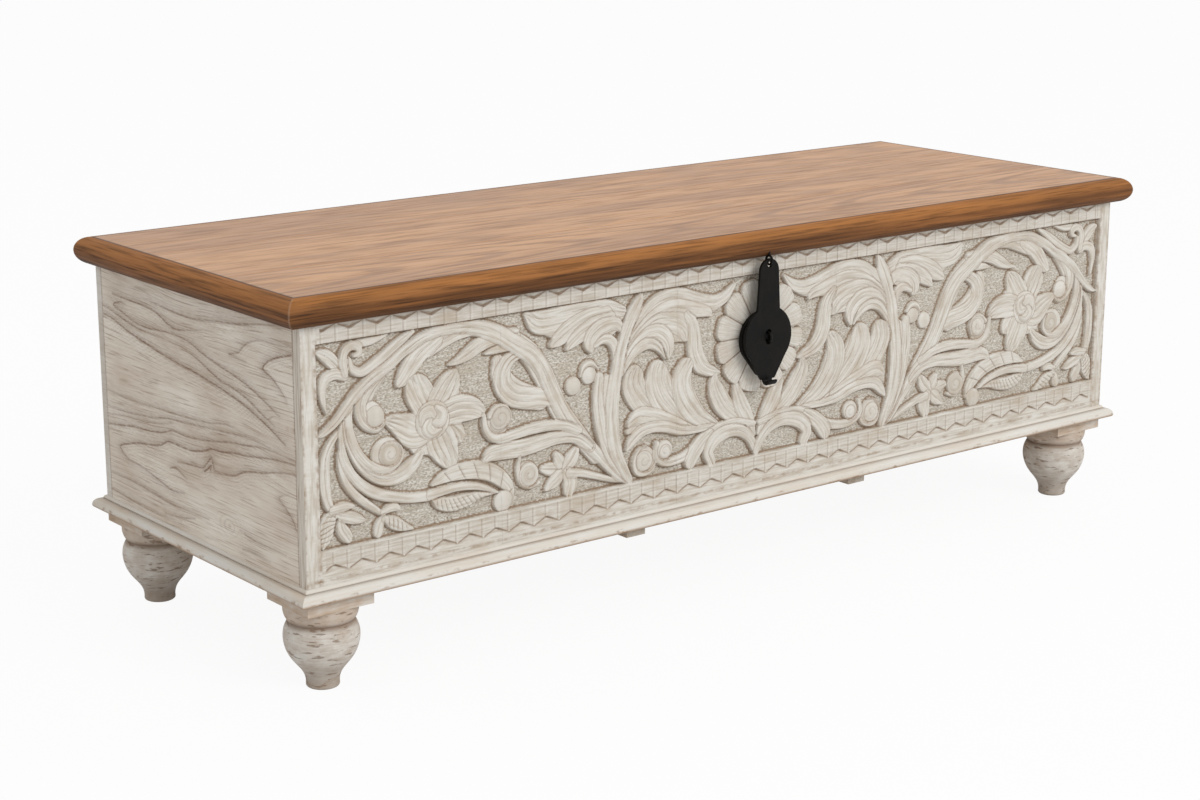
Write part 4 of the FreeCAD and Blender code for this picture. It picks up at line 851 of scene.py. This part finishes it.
def chip_rows(x, z):
    """The plain face with its two rows of points, and how dark its cut lines are, painted shade included.
    Above the field, three-cornered chips are cut down from the top edge, deepest at their points 2.6 mm,
    with a smaller chip left in each; below it they are cut up from a level line. The teeth between are sunk
    0.7 mm, tinted brown, and have thin upright beads. Painted shade darkens each chip most along its deepest
    edge and lies along the left side of each bead, whose crest is kept free of brown."""
    face = np.full(np.broadcast(x, z).shape, carving_depth)
    upper = upper_chips_z - 6.8 * zigzag(x, upper_first, upper_pitch)
    lower = lower_chips_z + 7.2 * zigzag(x, lower_first, lower_pitch)
    teeth = (eased((z - field_high) / 0.8) * (z < upper)
             + eased((z - lower) / 0.8) * eased((lower_teeth_top - z) / 0.8))
    face = face - 0.7 * teeth
    cut_down = eased((z - upper) / 0.9) * np.clip((face_high + 0.1 - z) / 7.0, 0.0, 1.0)
    face = face - 2.6 * cut_down + 0.9 * eased((z - upper - 2.6) / 0.9)
    cut_up = eased((lower - z) / 0.9) * np.clip((z - lower_chips_z + 0.8) / 7.4, 0.0, 1.0)
    face = np.minimum(face - 2.8 * cut_up, carving_depth)
    lines = np.maximum(np.exp(-((z - upper) / 1.1) ** 2), np.exp(-((z - lower) / 1.1) ** 2))
    # Painted shade in each chip, strongest along its deepest edge, and a brown tint on the sunk teeth.
    shaded = np.where(z > upper, np.exp((upper - z) / 5.0), 0.5 * teeth)
    shaded = np.where((z < lower) & (z > lower_chips_z - 1.0), np.exp((z - lower) / 5.0), shaded)
    lines = np.maximum(lines, 0.66 * shaded)
    upper_row = (z > field_high) & (z < upper)
    lower_row = (z > lower) & (z < lower_teeth_top)
    beads = ((upper_first, upper_pitch, upper_row), (upper_first + 15.8, upper_pitch, upper_row),
             (lower_first, lower_pitch, lower_row), (lower_first + 15.2, lower_pitch, lower_row))
    for first, pitch, row in beads:
        off = (x - first + pitch / 2) % pitch - pitch / 2
        face = face + 0.7 * np.exp(-(off / 0.8) ** 2) * row
        # Painted shade along the left side of each bead; the bead's crest is then cleared of brown.
        lines = np.maximum(lines, 0.75 * np.exp(-((off + 1.6) / 0.9) ** 2) * row)
        lines = lines * (1.0 - 0.9 * np.exp(-(off / 0.9) ** 2) * row)
    return np.minimum(face, carving_depth), lines


# Outside the sunk field the plain face and its chip-cut rows take over. Brown is laid as painted shade on
# slopes that face away from the lamp. Brown wash lies in what is lower than its surroundings, at the foot of
# forms and in the cut lines, and painted shade is added in the chips and beside each bead.
wall = np.maximum(np.abs(grid_x)[None, :] - field_half,
                  np.maximum(field_low - grid_z, grid_z - field_high)[:, None])
beyond = eased((wall + 0.6) / 1.6)
rows_cut, scribed_and_painted_shade = chip_rows(grid_x[None, :], grid_z[:, None])
in_rows = (np.abs(grid_x) < field_half - 4.0)[None, :]
plain = np.where(in_rows, rows_cut, carving_depth) - 0.1 * np.abs(stipple)
relief = np.minimum(relief, carving_depth) * (1.0 - beyond) + plain * beyond
ground = ground * (1.0 - beyond)
uphill, rightward = np.gradient(relief, grid_z, grid_x)
# Painted shade: brown where a slope faces away from the lamp.
lee = np.clip((0.75 * rightward + 0.66 * uphill) / 2.0, 0.0, 1.0)
# Brown wash in each cut and at the foot of forms, joined with the painted shade of the chip rows.
hollow = np.clip((softened(relief, 1.1) - relief) / 0.6, 0.0, 1.0)
hollow = np.maximum(hollow, 0.75 * outline * (1.0 - beyond))
hollow = np.maximum(hollow, 0.95 * scribed_and_painted_shade * in_rows * beyond)

stile_x = 0.5345
face_end_x = 0.55
band_z = 0.1155


def carved_whitewash(name):
    """Whitewash wiped over the carving: fine worn streaks follow each stroke, the stippled ground is a
    little darker, brown is left in every cut, and painted shade is laid as brown on the side of each edge
    that faces away from the lamp. It is rubbed along the stile, the corner and the lower band, and end grain
    shows on the board's ends."""
    finish, tree, shader, colour = whitewash(name, (8, 60, 420), (16, 16, 30), 0.28, 0.26)
    streak = noise_along(tree, times(tree, attribute(tree, "across"), 0.42),
                         times(tree, attribute(tree, "along"), 0.024), 3.0)
    colour = over(tree, between(tree, streak, 0.4, 0.66, 0.0, 0.64), colour, tone(*streak_worn))
    worn_patch = between(tree, speckle(tree, (34, 60, 34)), 0.48, 0.7, 0.0, 0.36)
    colour = over(tree, worn_patch, colour, tone(*patch_worn))
    mottle = speckle(tree, (330, 620, 860), 3.0)
    dusk = times(tree, attribute(tree, "ground"), between(tree, mottle, 0.42, 0.58))
    colour = over(tree, dusk, colour, tone(*ground_dusk))
    # Painted shade on the lee of each edge, joined with the brown in every cut.
    lees = times(tree, attribute(tree, "lee"), 0.5)
    cuts_and_painted_shade = times(tree, combined(tree, attribute(tree, "hollow"), lees, "MAXIMUM"),
                 between(tree, mottle, 0.2, 0.8, 0.65, 1.0))
    colour = over(tree, between(tree, cuts_and_painted_shade, 0.1, 0.9, 0.0, 0.88), colour, tone(*cut_brown_and_painted_shade))
    place = place_of(tree)
    out = size_of(tree, place[0])
    stile = times(tree, between(tree, out, stile_x - 0.0035, stile_x),
                  between(tree, out, stile_x, stile_x + 0.0045, 1.0, 0.0))
    edge = combined(tree, between(tree, out, face_end_x - 0.0035, face_end_x - 0.0002), stile)
    band = times(tree, between(tree, place[2], band_z - 0.003, band_z),
                 between(tree, place[2], band_z, band_z + 0.003, 1.0, 0.0))
    rub = between(tree, speckle(tree, (90, 90, 120)), 0.4, 0.65, 0.0, 0.75)
    colour = over(tree, times(tree, combined(tree, edge, band), rub), colour, tone(*edge_brown))
    pores = between(tree, speckle(tree, (40, 420, 16)), 0.44, 0.72)
    end_grain = over(tree, pores, tone(*end_pale), tone(*end_dark))
    at_end = combined(tree, out, face_end_x - 0.0001, "GREATER_THAN")
    tree.links.new(over(tree, at_end, colour, end_grain), shader.inputs["Base Color"])
    return finish


carved_white = carved_whitewash("carved_whitewash")
section_columns = (len(grid_x) - 1) // sections
for section in range(sections):
    part = slice(section * section_columns, (section + 1) * section_columns + 1)
    front_section = board_mesh(
        f"front_board_{section + 1}", grid_x[part] / 1000, grid_z / 1000,
        (relief[:, part] - carving_depth) / 1000, -lap, lambda u, v, w: (u, face_y - w, v),
        hollow=hollow[:, part], ground=ground[:, part], lee=lee[:, part], across=across[:, part],
        along=along[:, part])
    front_section.data.materials.append(carved_white)
    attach(front_section, "case")
    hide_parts("front_panel")

inside_x = np.linspace(-side_half[0], side_half[0], 40)
inside_z = np.linspace(*wall_z, 12)
inside_flat = np.full((len(inside_z), len(inside_x)), board_back)
front_inside = board_mesh("front_board_inside", inside_x, inside_z, inside_flat, lap,
                          lambda u, v, w: (-u, face_y + w, v))
front_inside.data.materials.append(inside_wood)
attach(front_inside, "case")
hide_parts("front_panel")

# Base moulding: four strips run with a bead, a quirk and a nose, mitred at the corners and bradded round
# the foot of the walls. Paint is rubbed off along the edges.
quirk_z = wall_z[0] + 0.0108
nose_z = wall_z[0] + 0.007
moulding_worn = (196, 178, 156)
quirk_brown = (150, 122, 96)
low_edge_brown = (158, 126, 97)
nose_brown = (146, 118, 92)


def moulding_whitewash(name, fine, broad, thinness):
    """Whitewash rubbed through to brown along the lower edge and in spots on the nose, with some brown
    left in the quirk."""
    finish, tree, shader, colour = whitewash(name, fine, broad, thinness, 0.6, worn=moulding_worn)
    height = place_of(tree)[2]
    from_quirk = size_of(tree, combined(tree, height, quirk_z, "SUBTRACT"))
    colour = over(tree, between(tree, from_quirk, 0.0003, 0.0011, 0.32, 0.0), colour, tone(*quirk_brown))
    low_edge = between(tree, height, wall_z[0] + 0.0012, wall_z[0] + 0.0042, 0.75, 0.0)
    colour = over(tree, low_edge, colour, tone(*low_edge_brown))
    spots = between(tree, speckle(tree, (60, 60, 160)), 0.53, 0.66, 0.0, 0.75)
    on_nose = between(tree, height, nose_z - 0.003, nose_z, 1.0, 0.0)
    colour = over(tree, times(tree, spots, on_nose), colour, tone(*nose_brown))
    tree.links.new(colour, shader.inputs["Base Color"])
    return finish


long_moulding = moulding_whitewash("moulding_whitewash_long", (6, 150, 420), (10, 30, 60), 0.3)
short_moulding = moulding_whitewash("moulding_whitewash_short", (150, 6, 420), (30, 10, 60), 0.36)
finish_nodes(long_moulding, "base_moulding_front", "base_moulding_back")
finish_nodes(short_moulding, "base_moulding_left", "base_moulding_right")
finish_nodes(steel_finish, "base_moulding_pins")

# Hinges: three steel butt hinges, their lower leaves let into the back board's top edge and their knuckles
# behind the case. A pin runs in each barrel, and three screws hold each leaf.
finish_nodes(steel_finish, *(f"hinge_{kind}_{where}" for kind in ("lower_leaf", "pin", "upper_leaf")
                             for where in ("left", "middle", "right")),
             "hinge_screws_case", "hinge_screws_lid")

# Lid: three planks glued edge to edge, waxed a warm brown. The front plank is cut near the heart,
# so its rings run out in long nested arches; the others are quieter.
lid_y = -0.19165, -0.07165, 0.06835, 0.19335
lid_half = 0.556
lid_z = 0.3545, 0.3825
plank_quirk = 0.0008
plank_step = 0.006
wax_pale = (199, 147, 98)
wax_deep = (174, 126, 84)
wax_pores = (118, 82, 54)
plank_ring_brown = (112, 76, 48)
seam_brown = (72, 46, 30)


def nested_arches(along, across, middle, tip, spread):
    """Rings that run out along a plank, in mm: the distance from the tip less the square of the distance
    from the middle line, over the spread."""
    return np.abs(along - tip) - (across - middle) ** 2 / spread


def waxed_wood(name, pale, deep, dark, fine, broad, pores, gloss, dull):
    """Waxed brown wood: a warm tone deepened in broad bands, with dark pores as streaks along the grain.
    The colour and the streaks are handed back, so that more can be laid over them."""
    finish, tree, shader = new_finish(name, 0.5, gloss)
    lines = speckle(tree, fine, 5.0)
    colour = over(tree, between(tree, speckle(tree, broad, 3.0), 0.36, 0.64), tone(*pale), tone(*deep))
    colour = over(tree, between(tree, lines, 0.44, 0.74, 0.0, pores), colour, tone(*dark))
    tree.links.new(between(tree, lines, 0.3, 0.8, dull - 0.06, dull + 0.08), shader.inputs["Roughness"])
    roughened(tree, shader, lines, 0.00025)
    return finish, tree, shader, colour, lines


def plank_wood(name, rings, frequency):
    """A plank's wax: ring lines where the sine of its figure is high, and a dark seam round the three
    planks, where they meet the nosing."""
    finish, tree, shader, colour = waxed_wood(name, wax_pale, wax_deep, wax_pores, (17, 190, 190),
                                              (2.5, 22, 22), 0.52, 0.5, 0.46)[:4]
    place = place_of(tree)
    drift = times(tree, speckle(tree, (3, 14, 14), 2.0), 90.0)
    phase = times(tree, combined(tree, attribute(tree, "figure"), drift), frequency)
    line = between(tree, combined(tree, phase, 0.0, "SINE"), 0.2, 1.0, 0.0, rings)
    colour = over(tree, line, colour, tone(*plank_ring_brown))
    at_end = between(tree, size_of(tree, place[0]), lid_half - 0.0026, lid_half - 0.0012)
    at_front = between(tree, place[1], lid_y[0] + 0.0012, lid_y[0] + 0.0034, 1.0, 0.0)
    at_back = between(tree, place[1], lid_y[-1] - 0.0034, lid_y[-1] - 0.0012)
    seam = combined(tree, at_end, combined(tree, at_front, at_back, "MAXIMUM"), "MAXIMUM")
    colour = over(tree, times(tree, seam, 0.8), colour, tone(*seam_brown))
    tree.links.new(colour, shader.inputs["Base Color"])
    return finish


# For each plank: middle line and tip of its arches in mm, their spread, how strong and how close they are.
plank_rings = (("front", 60.0, -60.0, 9.0, 0.4, 0.05), ("middle", 20.0, 520.0, 14.0, 0.22, 0.04),
               ("back", 90.0, -300.0, 16.0, 0.22, 0.04))
plank_columns = np.linspace(-lid_half + plank_quirk, lid_half - plank_quirk, 180)
plank_x = np.concatenate(([-lid_half], plank_columns, [lid_half]))
for (plank, middle, tip, spread, rings, frequency), low_y, high_y in zip(plank_rings, lid_y[:-1], lid_y[1:]):
    rows = np.linspace(low_y + plank_quirk, high_y - plank_quirk, int((high_y - low_y) / plank_step))
    plank_y = np.concatenate(([low_y], rows, [high_y]))
    top = np.full((len(plank_y), len(plank_x)), lid_z[1])
    top[[0, -1], :] -= plank_quirk
    top[:, [0, -1]] = lid_z[1] - plank_quirk
    figure = nested_arches(1000 * plank_x[None, :], 1000 * (plank_y[:, None] - low_y), middle, tip, spread)
    board = board_mesh(f"lid_board_{plank}", plank_x, plank_y, top, lid_z[0], lambda u, v, w: (u, v, w),
                       smooth=False, figure=figure)
    board.data.materials.append(plank_wood(f"waxed_plank_{plank}", rings, frequency))
    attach(board, "lid")
    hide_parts(f"lid_plank_{plank}")

# Lid nosing: half-round strips of darker wood, glued round the planks and mitred at the corners. A fine
# dark line shows where they meet the planks, and streaks run along each strip.
nosing_pale = (142, 92, 50)
nosing_deep = (98, 62, 34)
nosing_pores = (40, 25, 14)
painted_top_light_gold = (178, 118, 62)
painted_under_shade = (50, 31, 18)
mitre_pale = (176, 156, 138)
joint_brown = (64, 41, 26)


def nosing_wood(name, fine, broad):
    """The nosing's wax: painted shade darkens it underneath and painted light lifts it to a golden tone
    towards the top; it is worn pale on the thin line of the two front mitres, and dark where it meets the
    planks."""
    finish, tree, shader, colour, lines = waxed_wood(name, nosing_pale, nosing_deep, nosing_pores, fine,
                                                     broad, 0.85, 0.15, 0.6)
    place = place_of(tree)
    # Painted light: a golden tone towards the top of the round, broken by the streaks.
    painted_top_light = times(tree, between(tree, place[2], lid_z[0] + 0.013, lid_z[1] - 0.004, 0.0, 0.62),
                 between(tree, lines, 0.38, 0.64, 1.0, 0.45))
    colour = over(tree, painted_top_light, colour, tone(*painted_top_light_gold))
    # Painted shade: darker on the lower part of the round.
    below = between(tree, place[2], lid_z[0], lid_z[0] + 0.012, 0.6, 0.0)
    colour = over(tree, below, colour, tone(*painted_under_shade))
    out = size_of(tree, place[0])
    aside = combined(tree, combined(tree, out, place[1]), lid_half + lid_y[0], "SUBTRACT")
    mitre = between(tree, size_of(tree, aside), 0.0005, 0.0018, 0.2, 0.0)
    mitre = times(tree, mitre, combined(tree, place[1], lid_y[0], "LESS_THAN"))
    colour = over(tree, mitre, colour, tone(*mitre_pale))
    ahead = combined(tree, lid_y[0], place[1], "SUBTRACT")
    behind = combined(tree, place[1], lid_y[-1], "SUBTRACT")
    beyond_end = combined(tree, out, lid_half, "SUBTRACT")
    past = combined(tree, beyond_end, combined(tree, ahead, behind, "MAXIMUM"), "MAXIMUM")
    colour = over(tree, between(tree, past, 0.0004, 0.0024, 0.6, 0.0), colour, tone(*joint_brown))
    tree.links.new(colour, shader.inputs["Base Color"])
    return finish


long_nosing = nosing_wood("waxed_nosing_long", (14, 420, 420), (3, 90, 90))
short_nosing = nosing_wood("waxed_nosing_short", (420, 14, 420), (90, 3, 90))
finish_nodes(long_nosing, "lid_nosing_front", "lid_nosing_back")
finish_nodes(short_nosing, "lid_nosing_left", "lid_nosing_right")

# Lid battens: two bare boards screwed across the lid's underside, to keep the planks flat.
# They lie inside the case when the lid is shut.
finish_nodes(across_wood, "lid_batten_left", "lid_batten_right")
finish_nodes(steel_finish, "lid_batten_screws")

# Lock plate, staple, eye and hasp: forged iron, blacked and oiled. The staple goes through the plate and
# the front board and is clinched inside. The hasp hangs on the eye in the nosing, and its slot drops over
# the staple.
iron_black = (9, 8, 7)
iron_brown = (17, 14, 10)


def worked_iron(name):
    """Blacked iron: near black, slightly browner in patches, with hammer unevenness in the bump and a
    satin gloss that changes with it."""
    finish, tree, shader = new_finish(name, 0.42, 0.12)
    dents = speckle(tree, (90, 90, 90))
    grit = speckle(tree, (900, 900, 900), 2.0)
    colour = over(tree, between(tree, dents, 0.35, 0.75), tone(*iron_black), tone(*iron_brown))
    tree.links.new(colour, shader.inputs["Base Color"])
    tree.links.new(between(tree, grit, 0.25, 0.75, 0.32, 0.52), shader.inputs["Roughness"])
    roughened(tree, shader, combined(tree, dents, times(tree, grit, 0.15)), 0.0005)
    return finish


black_iron = worked_iron("blacked_iron")
finish_nodes(black_iron, "lock_staple", "hasp_eye")


def eased_copy(node, name, width):
    """A copy of a CAD node with its doubles merged and its flat facets joined, whose edges are
    rounded by a bevel of that width."""
    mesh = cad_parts[node].data.copy()
    work = bmesh.new()
    work.from_mesh(mesh)
    bmesh.ops.remove_doubles(work, verts=work.verts, dist=1e-6)
    bmesh.ops.dissolve_limit(work, angle_limit=0.01, verts=work.verts, edges=work.edges)
    work.to_mesh(mesh)
    work.free()
    mesh.materials.clear()
    mesh.materials.append(black_iron)
    piece = new_piece(name, mesh)
    bevel = piece.modifiers.new("eased_edges", "BEVEL")
    bevel.width = width
    bevel.segments = 3
    bevel.limit_method = "ANGLE"
    bevel.angle_limit = 0.6
    return piece


for node, body, width in (("lock_plate", "case", 0.0007), ("hasp_strap", "hasp", 0.0008)):
    ironwork = eased_copy(node, f"{node}_eased", width)
    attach(ironwork, body)
    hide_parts(node)

# Studio: a white floor that keeps a faint shadow, an even white surround, a large soft lamp in front, a
# little to the right, and the camera, at the place the photograph was taken from.
floor_half = 9.0
floor_grey = (0.8, 0.8, 0.8, 1.0)
pure_white = (1.0, 1.0, 1.0, 1.0)


def seen_directly(tree):
    """1 for rays that reach the eye straight, by a mirror or through glass."""
    path = add_node(tree, "LightPath").outputs
    mirrored = combined(tree, path["Is Camera Ray"], path["Is Glossy Ray"], "MAXIMUM")
    return combined(tree, mirrored, path["Is Transmission Ray"], "MAXIMUM")


floor_mesh = bpy.data.meshes.new("studio_floor")
floor_corners = [(floor_half * right, floor_half * far, 0.0)
                 for right, far in ((-1, -1), (1, -1), (1, 1), (-1, 1))]
floor_mesh.from_pydata(floor_corners, [], [(0, 1, 2, 3)])
floor = new_piece("studio_floor", floor_mesh)
floor_finish = bpy.data.materials.new("studio_floor")
floor_tree = empty_tree(floor_finish)
floor_matt = add_node(floor_tree, "BsdfDiffuse", {"Color": floor_grey})
floor_white = add_node(floor_tree, "Emission", {"Color": pure_white, "Strength": 1.0})
floor_share = times(floor_tree, seen_directly(floor_tree), 0.93)
floor_mix = add_node(floor_tree, "MixShader", {0: floor_share, 1: floor_matt.outputs[0],
                                               2: floor_white.outputs[0]})
add_node(floor_tree, "OutputMaterial", {"Surface": floor_mix.outputs[0]})
floor_mesh.materials.append(floor_finish)

surround = bpy.data.worlds.new("studio_surround")
surround_tree = empty_tree(surround)
surround_light = between(surround_tree, seen_directly(surround_tree), 0.0, 1.0, 0.74, 1.0)
surround_shade = add_node(surround_tree, "Background", {"Color": pure_white, "Strength": surround_light})
add_node(surround_tree, "OutputWorld", {"Surface": surround_shade.outputs[0]})
bpy.context.scene.world = surround


def stand(thing, right, up, back, place):
    """The thing is put at a place, turned so that its x, y and z run right, up and back."""
    turned = np.stack((right, up, back, place), 1)
    thing.matrix_world = Matrix(np.vstack((turned, (0.0, 0.0, 0.0, 1.0))).tolist())


lamp_data = bpy.data.lights.new("front_lamp", "AREA")
lamp_data.shape = "RECTANGLE"
lamp_data.size = 2.4
lamp_data.size_y = 2.0
lamp_data.energy = 99.0
lamp_place = np.array((0.5, -4.0, 2.9))
lamp_aim = np.array((0.0, 0.0, 0.25))
lamp_back = lamp_place - lamp_aim
lamp_back /= np.linalg.norm(lamp_back)
lamp_right = np.cross((0.0, 0.0, 1.0), lamp_back)
lamp_right /= np.linalg.norm(lamp_right)
lamp_up = np.cross(lamp_back, lamp_right)
stand(new_piece("front_lamp", lamp_data), lamp_right, lamp_up, lamp_back, lamp_place)

camera_place = (-1.60735, -1.94216, 0.80385)
camera_azimuth, camera_elevation, camera_roll = np.radians((-38.566, 14.227, 0.0736))
camera_back = np.array((np.sin(camera_azimuth) * np.cos(camera_elevation),
                        -np.cos(camera_azimuth) * np.cos(camera_elevation), np.sin(camera_elevation)))
level = np.array((np.cos(camera_azimuth), np.sin(camera_azimuth), 0.0))
upright = np.cross(camera_back, level)
camera_right = level * np.cos(camera_roll) + upright * np.sin(camera_roll)
camera_up = upright * np.cos(camera_roll) - level * np.sin(camera_roll)
camera_data = bpy.data.cameras.new("camera")
camera_data.sensor_width = 36.0
camera_data.lens = 70.617
camera = new_piece("camera", camera_data)
stand(camera, camera_right, camera_up, camera_back, camera_place)
bpy.context.scene.camera = camera
bpy.context.scene.view_settings.view_transform = "Standard"
